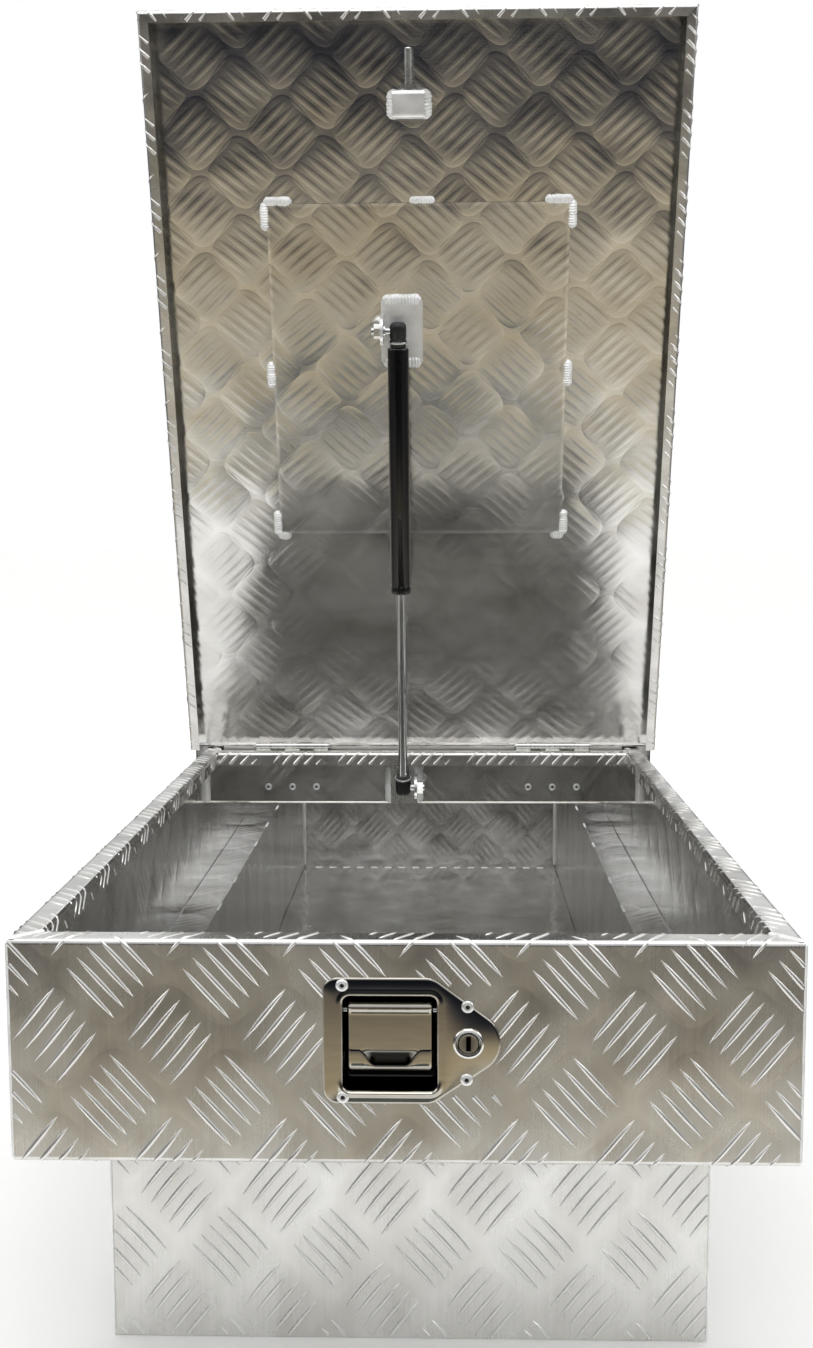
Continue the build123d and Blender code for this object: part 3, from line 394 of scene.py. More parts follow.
def bent_sheet(skin, fold, carry, limits, phase, columns=16, stops=(), holes=(), shut=(1, 1, 1, 1)):
    """A bent sheet between end limits that may differ along the section, as at a mitre:
    rows follow the section, columns run evenly from one limit to the other."""
    inner = fold.place(fold.run, -SHEET)
    share = np.unique(np.round(np.concatenate([np.linspace(0, 1, columns + 1), stops]), 6))
    grids = []
    for section in (fold.at, inner):
        low, high = limits(section)
        u = low[:, None] + (high - low)[:, None] * share
        grids.append((u, carry(u, section[:, None, :] + np.zeros((1, len(share), 1)))))
    (u, outer), (_, back) = grids
    flat = np.stack([u - phase[0], fold.run[:, None] - phase[1] + 0 * u], axis=-1)
    normal = carry(0 * u, fold.out[:, None, :] + np.zeros((1, len(share), 1))).reshape(-1, 3)
    gone = None
    if holes:
        mid_u = (u[:-1, :-1] + u[1:, 1:]) / 2
        mid_v = ((fold.run[:-1] + fold.run[1:]) / 2)[:, None]
        gone = np.any([(mid_u > a) & (mid_u < b) & (mid_v > c) & (mid_v < d)
                       for a, b, c, d in holes], axis=0)
    double(skin, outer, back, normal, flat, gone, shut)


def bars(skin, fold, carry, u_range, v_range, phase, cuts=(), cover=None, size=None):
    """Raised bars over an unrolled area. Each is a lens in plan: its half width falls off as
    one minus the square of the place along it, to a power, and its section is a parabola.
    Bars are cut by half planes a*u + b*v <= c and under a cover plate."""
    length, width, height = size or bar_size()
    span = [np.arange(math.floor((lo - ph) / cell) - 1, math.ceil((hi - ph) / cell) + 2) * cell + ph
            for (lo, hi), ph, cell in zip((u_range, v_range), phase, CELL)]
    node_u, node_v = (a.ravel() for a in np.meshgrid(*span))
    number = np.arange(-2, 3)
    starts, ways, sides = [], [], []
    for centre, way, side, step, slip in BAR_GROUPS:
        way, side = np.array(way), np.array(side)
        shift = number[:, None] * (side * step + way * slip)
        middle = np.stack([node_u, node_v], axis=-1)[:, None, :] + np.array(centre) + shift
        middle = middle.reshape(-1, 2)
        starts.append(middle - way * length / 2)
        ways.append(np.broadcast_to(way, middle.shape))
        sides.append(np.broadcast_to(side, middle.shape))
    start, way, side = (np.concatenate(a) for a in (starts, ways, sides))
    limits = [(1, 0, u_range[1] - BAR_MARGIN), (-1, 0, -u_range[0] - BAR_MARGIN),
              (0, 1, v_range[1] - BAR_MARGIN), (0, -1, -v_range[0] - BAR_MARGIN), *cuts]

    def inside(planes, low, high):
        for a, b, c in planes:
            first = c - start @ (a, b)
            last = c - (start + way * length) @ (a, b)
            share = first / np.where(first == last, 1e-9, first - last)
            low = np.where((first < 0) & (last >= 0), np.maximum(low, share), low)
            high = np.where((last < 0) & (first >= 0), np.minimum(high, share), high)
            high = np.where((first < 0) & (last < 0), -1.0, high)
        return low, high

    low, high = inside(limits, np.zeros(len(start)), np.ones(len(start)))
    if cover is not None:
        a, b, c, d = cover
        enter, leave = inside([(1, 0, b), (-1, 0, -a), (0, 1, d), (0, -1, -c)],
                              np.zeros(len(start)), np.ones(len(start)))
        hit = leave > enter
        before = enter - low > high - leave
        high = np.where(hit & before, np.minimum(high, enter), high)
        low = np.where(hit & ~before, np.maximum(low, leave), low)
    keep = (high - low) * length > SHORTEST_BAR
    start, way, side, low, high = (a[keep] for a in (start, way, side, low, high))
    if not len(start):
        return
    stations, across = 9, np.array([-1.0, -0.5, 0.0, 0.5, 1.0])
    t = low[:, None] + (high - low)[:, None] * np.linspace(0, 1, stations)
    bulge = np.maximum(1 - (2 * t - 1) ** 2, 0.0)
    half = 0.22 + width / 2 * bulge ** 0.8
    c = across[None, None, :]
    u, v = (start[:, None, None, k] + way[:, None, None, k] * length * t[..., None]
            + side[:, None, None, k] * half[..., None] * c for k in (0, 1))
    rise = height * (0.25 + 0.75 * bulge ** 0.5)[..., None] * (1 - c ** 2) - 0.25 * (c ** 2 == 1)
    points = carry(u, fold.place(v, rise))
    along = np.gradient(points, axis=1)
    over = np.gradient(points, axis=2)
    normal = np.cross(along, over)
    normal /= np.linalg.norm(normal, axis=-1, keepdims=True)
    up = carry(0 * u, fold.way(v))
    normal *= np.sign(np.einsum("...i,...i->...", normal, up))[..., None]
    each = stations * 5
    local = np.arange(each).reshape(stations, 5)
    base = np.arange(len(start))[:, None] * each
    top = grid_faces(stations, 5).reshape(-1, 4)
    under = np.stack([local[:-1, 0], local[1:, 0], local[1:, 4], local[:-1, 4]], axis=-1)
    ups = up.reshape(-1, 3)
    ends = points[:, 1] - points[:, 0]
    groups = []
    for faces, sign in ((top, 1.0), (under, -1.0)):
        every = (base[..., None] + faces[None]).reshape(-1, 4)
        groups.append((every, ups[every[:, 0]] * sign, normal.reshape(-1, 3) if sign > 0 else None))
    for row, sign in ((local[0], -1.0), (local[-1], 1.0)):
        hint = ends[:, 2] * sign
        groups.append(((base + row[[0, 1, 3, 4]]), hint, None))
        groups.append(((base + row[[1, 2, 3]]), hint, None))
    flat = np.stack([u - phase[0], v - phase[1]], axis=-1)
    # The ridge mark lightens each bar toward its crest in the tread finish: a painted highlight, partly wear.
    ridge = np.broadcast_to(1 - c ** 2, u.shape).ravel()
    skin.add(points.reshape(-1, 3), groups, flat, bar=ridge)


def bar_size():
    """Length, width and height of one bar, in millimetres."""
    sizes = bpy.context.scene.tool_box_tread
    return sizes.bar_length / MM, sizes.bar_width / MM, sizes.bar_height / MM


# ---- beads of weld --------------------------------------------------------------
def bead(skin, start, end, up, width, height, pitch=2.6, seed=0):
    """A weld bead between two points: a half ellipse carried along a line, with ripples in
    its height and width that repeat every pitch, rounded ends and a flat underside."""
    start, end, up = (np.asarray(a, float) for a in (start, end, up))
    length = np.linalg.norm(end - start)
    way = (end - start) / length
    up = up - way * (up @ way)
    up /= np.linalg.norm(up)
    aside = np.cross(way, up)
    count = max(int(length / pitch * 4), 10)
    rng = np.random.default_rng(seed)
    t = np.linspace(0, 1, count + 1)
    past = np.abs(2 * t - 1) * (length / 2) - (length / 2 - width / 2)
    taper = np.sqrt(np.clip(1 - np.maximum(past, 0) ** 2 / (width / 2) ** 2, 0.03, 1))
    ripple = np.cos(2 * np.pi * t * length / pitch)
    wander = np.interp(t, np.linspace(0, 1, 9), rng.normal(0, 0.05, 9))
    half = width / 2 * taper * (1 + 0.06 * ripple + wander)
    tall = height * taper * (0.86 + 0.14 * ripple + wander)
    phi = np.linspace(0, np.pi, 9)
    lean = pitch * 0.35 * np.sin(phi)
    points = (start + (t[:, None, None] * length + lean[None, :, None]
                       * np.minimum(1, 4 * (1 - t))[:, None, None]) * way
              + (half[:, None] * np.cos(phi))[..., None] * aside
              + (tall[:, None] * np.sin(phi) - 0.3 * (np.sin(phi) < 1e-6))[..., None] * up)
    ringed(skin, points, points[[0, -1]].mean(axis=1))


def corner_bead(skin, start, end, up, width, pitch=2.6, seed=0):
    """A bead in an inside corner: moved out along the bisector until its underside's edges
    touch both walls."""
    up = np.asarray(up, float) / np.linalg.norm(up)
    out = up * (width / 2 - 0.3)
    bead(skin, np.asarray(start) + out, np.asarray(end) + out, up, width, width * 0.16, pitch, seed)


# ---- materials ------------------------------------------------------------------
def tone(code):
    """An sRGB hex value as linear red, green, blue and alpha."""
    parts = [int(code[i:i + 2], 16) / 255 for i in (1, 3, 5)]
    return (*[p / 12.92 if p <= 0.04045 else ((p + 0.055) / 1.055) ** 2.4 for p in parts], 1.0)


def add(tree, kind, inputs=None, out=0, **settings):
    """Adds one node with its settings and gives one of its outputs; inputs are values or
    other nodes' outputs."""
    node = tree.nodes.new("ShaderNode" + kind)
    for key, value in settings.items():
        setattr(node, key, value)
    for key, value in (inputs or {}).items():
        if isinstance(value, bpy.types.NodeSocket):
            tree.links.new(value, node.inputs[key])
        else:
            node.inputs[key].default_value = value
    return node.outputs[out] if node.outputs else node


def begin(name):
    """A new material with a Principled shader wired to its output."""
    material = bpy.data.materials.new(name)
    material.use_nodes = True
    tree = material.node_tree
    tree.nodes.clear()
    surface = add(tree, "BsdfPrincipled")
    shader = surface.node
    add(tree, "OutputMaterial", {"Surface": surface})
    return material, tree, shader


def paint_ramp(tree, factor, stops):
    """A colour ramp through (place, hex) stops."""
    colour = add(tree, "ValToRGB", {"Fac": factor})
    ramp = colour.node
    while len(ramp.color_ramp.elements) < len(stops):
        ramp.color_ramp.elements.new(0.5)
    for element, (place, code) in zip(ramp.color_ramp.elements, stops):
        element.position = place
        element.color = tone(code)
    return colour


# How a bar and a group of five print through to the smooth side: reach along and across in
# millimetres, how often the distances are squared, and the power of the dome.
STROKE = (26.0, 3.6, 1, 1.2)
PILLOW = (29.0, 29.0, 2, 0.8)
# Depth of the relief in millimetres: waves of the sheet, pillows, strokes, rolling lines.
WAVE_DEPTH, PILLOW_DEPTH, STROKE_DEPTH, GRAIN_DEPTH = 1.8, 0.15, 0.075, 0.003


def printed_bars(tree, flat):
    """The pattern as it shows through: strokes, one minus the squared distances along and
    across the nearest bar, and pillows, squarish, one minus the fourth powers about each
    whole group."""
    totals = [0.0, 0.0]
    for centre, way, side, step, slip in BAR_GROUPS:
        moved = add(tree, "VectorMath", {0: flat, 1: (centre[0], centre[1], 0)},
                    operation="SUBTRACT")
        cell = add(tree, "VectorMath",
                   {0: moved, 1: (CELL[0] / 2, CELL[1] / 2, 1), 2: (-CELL[0] / 2, -CELL[1] / 2, -1)},
                   operation="WRAP")
        along = add(tree, "VectorMath", {0: cell, 1: (*way, 0)}, operation="DOT_PRODUCT", out=1)
        over = add(tree, "VectorMath", {0: cell, 1: (*side, 0)}, operation="DOT_PRODUCT", out=1)
        number = add(tree, "Math", {0: over, 1: step / 2}, operation="ADD")
        number = add(tree, "Math", {0: number, 1: step}, operation="SNAP")
        number = add(tree, "Clamp", {0: number, 1: -2 * step, 2: 2 * step})
        off = add(tree, "Math", {0: over, 1: number}, operation="SUBTRACT")
        back = add(tree, "Math", {0: number, 1: -slip / step, 2: along}, operation="MULTIPLY_ADD")
        for k, (a, b, (reach, half, squares, power)) in enumerate(
                ((back, off, STROKE), (along, over, PILLOW))):
            a = add(tree, "Math", {0: a, 1: reach}, operation="DIVIDE")
            b = add(tree, "Math", {0: b, 1: half}, operation="DIVIDE")
            for _ in range(squares):
                a = add(tree, "Math", {0: a, 1: a}, operation="MULTIPLY")
                b = add(tree, "Math", {0: b, 1: b}, operation="MULTIPLY")
            both = add(tree, "Math", {0: a, 1: b}, operation="ADD")
            dome = add(tree, "Math", {0: 1.0, 1: both}, operation="SUBTRACT", use_clamp=True)
            dome = add(tree, "Math", {0: dome, 1: power}, operation="POWER")
            totals[k] = add(tree, "Math", {0: dome, 1: totals[k]}, operation="ADD")
    return totals


def tread_plate_finish():
    """Rolled aluminium tread plate, bright from the mill: reflects softly and pulls out
    along the rolling, with hazier and darker drifts, and the bars' crests lightened, partly worn bright and
    partly a painted highlight."""
    material, tree, shader = begin("rolled_aluminium_tread_plate")
    flat = add(tree, "UVMap", uv_map="sheet_mm")
    back = add(tree, "Attribute", attribute_name="back", out="Fac")
    crest = add(tree, "Attribute", attribute_name="bar", out="Fac")
    # Rolling lines a few tenths of a millimetre apart, drawn about 1 mm wide to show.
    lines = add(tree, "Mapping", {0: flat, 3: (0.9, 0.012, 1.0)})
    grain = add(tree, "TexNoise", {"Vector": lines, "Scale": 1.0, "Detail": 3.0})
    # Drifts of haze some 150 mm long.
    drift = add(tree, "Mapping", {0: flat, 3: (0.012, 0.006, 1.0)})
    haze = add(tree, "TexNoise", {"Vector": drift, "Scale": 1.0, "Detail": 4.0,
                                  "Roughness": 0.55})
    strokes, pillows = printed_bars(tree, flat)
    colour = paint_ramp(tree, haze, [(0.30, "#cfccc6"), (0.52, "#e6e5e2"), (0.75, "#f2f1ef")])
    streak = paint_ramp(tree, grain, [(0.30, "#dededc"), (0.60, "#ffffff")])
    colour = add(tree, "Mix", {"Factor": 0.22, 6: colour, 7: streak}, data_type="RGBA",
                 blend_type="MULTIPLY", out=2)
    worn = add(tree, "Math", {0: pillows, 1: 0.12}, operation="MULTIPLY")
    colour = add(tree, "Mix", {"Factor": worn, 6: colour, 7: tone("#b9b8b4")}, data_type="RGBA",
                 blend_type="MULTIPLY", out=2)
    # Painted highlight, partly wear: the bars' crests are mixed toward near white.
    crested = add(tree, "Math", {0: crest, 1: 0.6}, operation="MULTIPLY")
    colour = add(tree, "Mix", {"Factor": crested, 6: colour, 7: tone("#fbfaf8")},
                 data_type="RGBA", out=2)
    tree.links.new(colour, shader.inputs["Base Color"])
    rough = add(tree, "MapRange", {0: haze, 1: 0.3, 2: 0.7, 3: 0.17, 4: 0.25})
    for factor, amount in ((grain, 0.05), (pillows, 0.05), (back, -0.10), (crest, 0.02)):
        rough = add(tree, "Math", {0: factor, 1: amount, 2: rough}, operation="MULTIPLY_ADD")
    tree.links.new(rough, shader.inputs["Roughness"])
    shader.inputs["Metallic"].default_value = 1.0
    waves = add(tree, "Mapping", {0: flat, 3: (0.012, 0.012, 1.0)})
    waves = add(tree, "TexNoise", {"Vector": waves, "Scale": 1.0, "Detail": 1.5})
    pressed = add(tree, "Math", {0: strokes, 1: back}, operation="MULTIPLY")
    share = add(tree, "MapRange", {0: back, 3: 0.35, 4: 1.0})
    swollen = add(tree, "Math", {0: pillows, 1: share}, operation="MULTIPLY")
    normal = None
    for height, depth in ((waves, WAVE_DEPTH), (swollen, PILLOW_DEPTH), (pressed, STROKE_DEPTH),
                          (grain, GRAIN_DEPTH)):
        inputs = {"Strength": 1.0, "Distance": depth * MM, "Height": height}
        if normal:
            inputs["Normal"] = normal
        normal = add(tree, "Bump", inputs)
    tree.links.new(normal, shader.inputs["Normal"])
    return material


def metal_finish(name, dark, light, rough, grit, depth, stretch=(1, 1, 1), tight=0.3, bare=1.0):
    """A metal whose tone, roughness and relief follow one noise: grit is the size of its
    grain in metres, stretch draws the grain out, bare is how much of it no oxide hides."""
    material, tree, shader = begin(name)
    where = add(tree, "TexCoord", out="Object")
    where = add(tree, "Mapping", {0: where, 3: stretch})
    noise = add(tree, "TexNoise", {"Vector": where, "Scale": 1 / grit, "Detail": 5.0})
    broad = add(tree, "TexNoise", {"Vector": where, "Scale": 0.04 / grit, "Detail": 2.0})
    mixed = add(tree, "Mix", {"Factor": tight, 2: broad, 3: noise})
    # Painted shade: the 'bar' mark mixes the colour toward near black in hollows such as the latch cup, the
    # keyway and the paddle's scoop.
    painted_shade = add(tree, "Attribute", attribute_name="bar", out="Fac")
    shade = paint_ramp(tree, mixed, [(0.35, dark), (0.65, light)])
    colour = add(tree, "Mix", {"Factor": painted_shade, 6: shade, 7: tone("#0d0c0b")},
                 data_type="RGBA", out=2)
    tree.links.new(colour, shader.inputs["Base Color"])
    spread = add(tree, "MapRange", {0: mixed, 1: 0.3, 2: 0.7, 3: rough[0], 4: rough[1]})
    tree.links.new(spread, shader.inputs["Roughness"])
    shader.inputs["Metallic"].default_value = bare
    relief = add(tree, "Bump", {"Strength": 1.0, "Distance": depth, "Height": noise})
    tree.links.new(relief, shader.inputs["Normal"])
    return material


def coated_finish(name, dark, light, rough, ior, grit, depth, coat=0.0):
    """A painted or moulded surface: faint mottling in tone and gloss over a fine skin."""
    material, tree, shader = begin(name)
    where = add(tree, "TexCoord", out="Object")
    noise = add(tree, "TexNoise", {"Vector": where, "Scale": 1 / grit, "Detail": 4.0})
    colour = paint_ramp(tree, noise, [(0.35, dark), (0.70, light)])
    tree.links.new(colour, shader.inputs["Base Color"])
    spread = add(tree, "MapRange", {0: noise, 1: 0.3, 2: 0.7, 3: rough[0], 4: rough[1]})
    tree.links.new(spread, shader.inputs["Roughness"])
    shader.inputs["IOR"].default_value = ior
    shader.inputs["Coat Weight"].default_value = coat
    relief = add(tree, "Bump", {"Strength": 1.0, "Distance": depth, "Height": noise})
    tree.links.new(relief, shader.inputs["Normal"])
    return material


FINISHES = {}


def make_finishes():
    """Every finish of the box by the record's slot names, and satin_aluminium, a second look
    for the small pressings."""
    FINISHES.update({
        "tread_plate": tread_plate_finish(),
        # Mill-finish aluminium strip and plate: soft sheen, fine rolling lines.
        "plain_aluminium": metal_finish("mill_finish_aluminium", "#cfcfcb", "#efefec", (0.20, 0.34),
                                        0.0012, 0.00002, (1.0, 0.08, 0.08), 0.5),
        # Aluminium weld, wire-brushed: whitish and frosted, with bright crests.
        "weld_metal": metal_finish("brushed_aluminium_weld", "#e8e8e5", "#ffffff", (0.34, 0.55),
                                   0.0008, 0.00012, bare=0.55),
        # Aluminium rivets and small plates: satin from the die, whiter than the sheet.
        "satin_aluminium": metal_finish("satin_pressed_aluminium", "#e4e4e2", "#ffffff",
                                        (0.30, 0.42), 0.001, 0.00001, bare=0.75),
        # Stainless sheet, pressed and buffed: near mirror with faint buffing haze.
        "polished_stainless": metal_finish("buffed_stainless_sheet", "#b3aea4", "#c9c5bb", (0.05, 0.13),
                                           0.004, 0.000004, (0.2, 1.0, 1.0)),
        # Bright zinc plate on turned steel: light, slightly cloudy.
        "steel_hardware": metal_finish("bright_zinc_plated_steel", "#bdbfc1", "#dcdddc", (0.18, 0.34),
                                       0.002, 0.00001),
        # Gloss black stoved enamel on the gas spring's tube.
        "strut_paint": coated_finish("gloss_black_stoved_enamel", "#050505", "#0d0d0e", (0.14, 0.22),
                                     1.5, 0.003, 0.00001, 0.6),
        # Hard chrome, ground and polished: crisp reflections.
        "chrome_rod": metal_finish("ground_hard_chrome", "#b9bbbe", "#d3d5d7", (0.05, 0.10),
                                   0.002, 0.000002, (1.0, 1.0, 0.05)),
        # Black nylon, moulded: satin with a fine spark-eroded skin.
        "black_plastic": coated_finish("moulded_black_nylon", "#0a0a0a", "#171717", (0.34, 0.50),
                                       1.53, 0.0009, 0.00003),
        # Bright plating on a die-cast lock: mirror with slight waviness.
        "lock_chrome": metal_finish("plated_lock_casting", "#d6d4cf", "#f2f1ee", (0.07, 0.16),
                                    0.003, 0.00001),
    })


# ---- sizes and colours a user may change ----------------------------------------
class ToolBoxTread(bpy.types.PropertyGroup):
    """The raised pattern."""
    bar_length: bpy.props.FloatProperty(
        name="Bar length", description="Length of one raised bar", default=0.044, unit="LENGTH")
    bar_width: bpy.props.FloatProperty(
        name="Bar width", description="Width of a bar at its middle", default=0.0034, unit="LENGTH")
    bar_height: bpy.props.FloatProperty(
        name="Bar height", description="Height of a bar over the sheet", default=0.00095,
        unit="LENGTH")


class ToolBoxWelds(bpy.types.PropertyGroup):
    """The weld beads."""
    width: bpy.props.FloatProperty(
        name="Bead width", description="Width of a short weld", default=0.0085, unit="LENGTH")
    height: bpy.props.FloatProperty(
        name="Bead height", description="Height of a short weld", default=0.003, unit="LENGTH")


class ToolBoxStudio(bpy.types.PropertyGroup):
    """Floor, light and camera."""
    lens: bpy.props.FloatProperty(
        name="Lens", description="Focal length on a 36 mm sensor", default=38.37)
    camera_place: bpy.props.FloatVectorProperty(
        name="Camera", description="Where the camera stands", default=(0.0261, -1.7094, 0.5933),
        unit="LENGTH", size=3)
    camera_turn: bpy.props.FloatVectorProperty(
        name="Camera turn", description="Pitch down, yaw to the right and roll, in degrees",
        default=(6.044, -1.521, -0.213), size=3)
    floor_colour: bpy.props.FloatVectorProperty(
        name="Floor colour", description="Colour of the floor", default=tone("#f4f4f2")[:3],
        subtype="COLOR", size=3)
    key_power: bpy.props.FloatProperty(
        name="Key power", description="Strength of the overhead light", default=26.0, unit="POWER")


# ---- body -----------------------------------------------------------------------
# Left, right, top and bottom of the latch cup's mouth and of the opening in the panel behind
# it, from the face plate's left and top edges, and half the side of the lock's opening.
CUP = (11.5, 73.9, 10.9, 75.4)
CUP_OPENING = (9.8, 75.6, 9.2, 77.1)
LOCK_OPENING = 11

# Where the tread pattern starts on each unrolled sheet.
END_PHASE = (-187.1, 21.2)
SIDE_PHASE = (12.0, 30.0)
TUB_END_PHASE = (-204.6, 30.0)
TUB_PHASE = (20.0, 34.0)
CAP_PHASE = (8.0, 12.0)
BRIDGE_PHASE = (5.0, -8.0)


def rim_section(wall, inward, reach):
    """Return flange, ledge, wall and shelf of a panel, from the top down."""
    return [(wall + inward * LEDGE, RIM_Z - RETURN), (wall + inward * LEDGE, RIM_Z),
            (wall, RIM_Z), (wall, SHELF_Z), (wall + inward * reach, SHELF_Z)]


def square_ends(reach):
    """Limits of a sheet cut square: the same reach both ways all along its section."""
    return lambda section: (0 * section[:, 0] - reach, 0 * section[:, 0] + reach)


def latch_windows():
    """The faceplate's outline box and the openings behind it, in X and depth under the rim."""
    low, high = near_box("latch_faceplates")
    plate = (low[0], high[0], RIM_Z - high[2], RIM_Z - low[2])
    left, right, top, bottom = CUP_OPENING
    cup = (low[0] + left, low[0] + right, plate[2] + top, plate[2] + bottom)
    lock = JOINTS["near_lock_turn"]["pos_m"]
    x, v = lock[0] / MM, RIM_Z - lock[2] / MM
    return plate, (cup, (x - LOCK_OPENING, x + LOCK_OPENING, v - LOCK_OPENING, v + LOCK_OPENING))


class TOOLBOX_OT_body(bpy.types.Operator):
    """Bends the body's sheets: panels, tub and bridge, with their raised bars"""
    bl_idname = "toolbox.body"
    bl_label = "Body sheets"

    def execute(self, context):
        wall_height = RIM_Z - SHELF_Z
        shelf = HALF_W - HALF_TUB
        side = Fold(rim_section(HALF_W, -1, shelf), -1, 2)

        def side_limits(section):
            reach = HALF_L - (HALF_W - section[:, 0])
            return -reach, reach

        panel = Skin()
        bent_sheet(panel, side, along_y, side_limits, SIDE_PHASE, columns=24)
        edge = HALF_L - BAR_MARGIN
        mitres = [(s, -1, edge) for s in (1, -1)] + [(s, 1, edge + wall_height) for s in (1, -1)]
        bars(panel, side, along_y, (-HALF_L, HALF_L), (side.run[0], side.run[-1]), SIDE_PHASE,
             mitres)
        panel.piece("right_side_sheet", "box", "tread_plate", ["right_side_panel"])
        panel.piece("left_side_sheet", "box", "tread_plate", ["left_side_panel"], half_turn)

        overhang = -TUB_END_LOW[1] + END_Y
        plate, windows = latch_windows()
        rows = sorted({round(v, 4) for w in windows for v in w[2:]} | {wall_height + shelf})
        end = Fold(rim_section(END_Y, 1, -overhang), 1, 2, rows)
        stops = [(u + HALF_W) / (2 * HALF_W) for w in windows for u in w[:2]]

        def end_limits(section):
            reach = np.maximum(HALF_W - (section[:, 0] - END_Y), HALF_TUB)
            return -reach, reach

        panel = Skin()
        bent_sheet(panel, end, along_x, end_limits, END_PHASE, 16, stops, windows)
        edge = HALF_W - BAR_MARGIN
        mitres = [(s, -1, edge) for s in (1, -1)]
        inset = (plate[0] + 5, plate[1] - 5, plate[2] + 5, plate[3] - 5)
        bars(panel, end, along_x, (-HALF_W, HALF_W), (end.run[0], wall_height), END_PHASE,
             mitres, inset)
        bars(panel, end, along_x, (-HALF_TUB, HALF_TUB), (wall_height, end.run[-1]), END_PHASE)
        panel.piece("near_end_sheet", "box", "tread_plate", ["near_end_panel"])
        panel.piece("far_end_sheet", "box", "tread_plate", ["far_end_panel"], half_turn)

        tub = Fold([(-HALF_TUB, TUB_TOP), (-HALF_TUB, 0), (HALF_TUB, 0), (HALF_TUB, TUB_TOP)], 1, 1)
        skin = Skin()
        reach = -TUB_Y
        bent_sheet(skin, tub, along_y, square_ends(reach), TUB_PHASE, 24)
        for low, high in ((tub.run[0], -3.0), (2 * HALF_TUB + 3.0, tub.run[-1])):
            bars(skin, tub, along_y, (-reach, reach), (low, high), TUB_PHASE)
        skin.piece("tub_sheet", "box", "tread_plate", ["tub"])

        wall = Fold([(TUB_END_LOW[1], TUB_TOP), (TUB_END_LOW[1], 0)], 1, 1)
        skin = Skin()
        bent_sheet(skin, wall, along_x, square_ends(HALF_TUB), TUB_END_PHASE)
        bars(skin, wall, along_x, (-HALF_TUB, HALF_TUB), (3.0, TUB_TOP), TUB_END_PHASE)
        skin.piece("near_tub_end_sheet", "box", "tread_plate", ["near_tub_end"])
        skin.piece("far_tub_end_sheet", "box", "tread_plate", ["far_tub_end"], half_turn)
        self.bridge()
        return {"FINISHED"}

    def bridge(self):
        """The channel between the mouths and the cap over it."""
        edge, floor = -BRIDGE_LOW[1], BRIDGE_LOW[2]
        strip = edge - LEDGE
        half = [(-edge, RIM_Z - RETURN), (-edge, RIM_Z), (-strip + SHEET, RIM_Z),
                (-strip + SHEET, floor + SHEET)]
        points = half + [(-y, z) for y, z in half[::-1]]
        step = RIM_Z - RETURN
        first = edge - strip + SHEET
        rows = [first + RETURN - 0.01, first + RETURN + 0.01]
        turn = Fold(points, -1, 1)
        rows += list(turn.run[-1] + turn.run[0] - np.array(rows))
        channel = Fold(points, -1, 1, rows)

        def limits(section):
            reach = np.where(section[:, 1] < step, BRIDGE_HIGH[0], HALF_W - LEDGE)
            return -reach, reach

        skin = Skin()
        bent_sheet(skin, channel, along_x, limits, BRIDGE_PHASE)
        start, stop = channel.run[0], channel.run[-1]
        for span in ((start, first - 6), (stop + start - first + 6, stop)):
            bars(skin, channel, along_x, (LEDGE - HALF_W, HALF_W - LEDGE), span, BRIDGE_PHASE)
        skin.piece("bridge_channel_sheet", "box", "tread_plate", ["bridge_channel"])

        wide, top, low = CAP_HIGH[0], CAP_HIGH[2], CAP_LOW[2]
        right = [(wide - CAP_LIP, low), (wide, low), (wide, top)]
        cap = Fold(right + [(-x, z) for x, z in right[::-1]], 1, 2)
        reach = CAP_HIGH[1]
        skin = Skin()
        bent_sheet(skin, cap, along_y, square_ends(reach), CAP_PHASE)
        bars(skin, cap, along_y, (-reach, reach), (cap.run[0], cap.run[-1]), CAP_PHASE)
        flange = HALF_W - LEDGE - 1
        for way in (-1, 1):
            x, z = np.meshgrid([-flange, flange], [top - SHEET - 9.0, top - SHEET])
            outer = np.stack([x, 0 * x + way * reach, z], axis=-1)
            double(skin, outer, outer - [0, way * SHEET, 0], np.tile([0.0, way, 0.0], (4, 1)))
        skin.piece("bridge_cap_sheet", "box", "tread_plate", ["bridge_cap"])


# ---- lids -----------------------------------------------------------------------
LID_PHASE = (-430.0, 60.0)
NOSE_PHASE = (15.0, 40.0)
STIFFENER_PHASE = (24.0, 11.0)
STIFFENER_CHAMFER = 0.9
LID_COLUMNS = 16


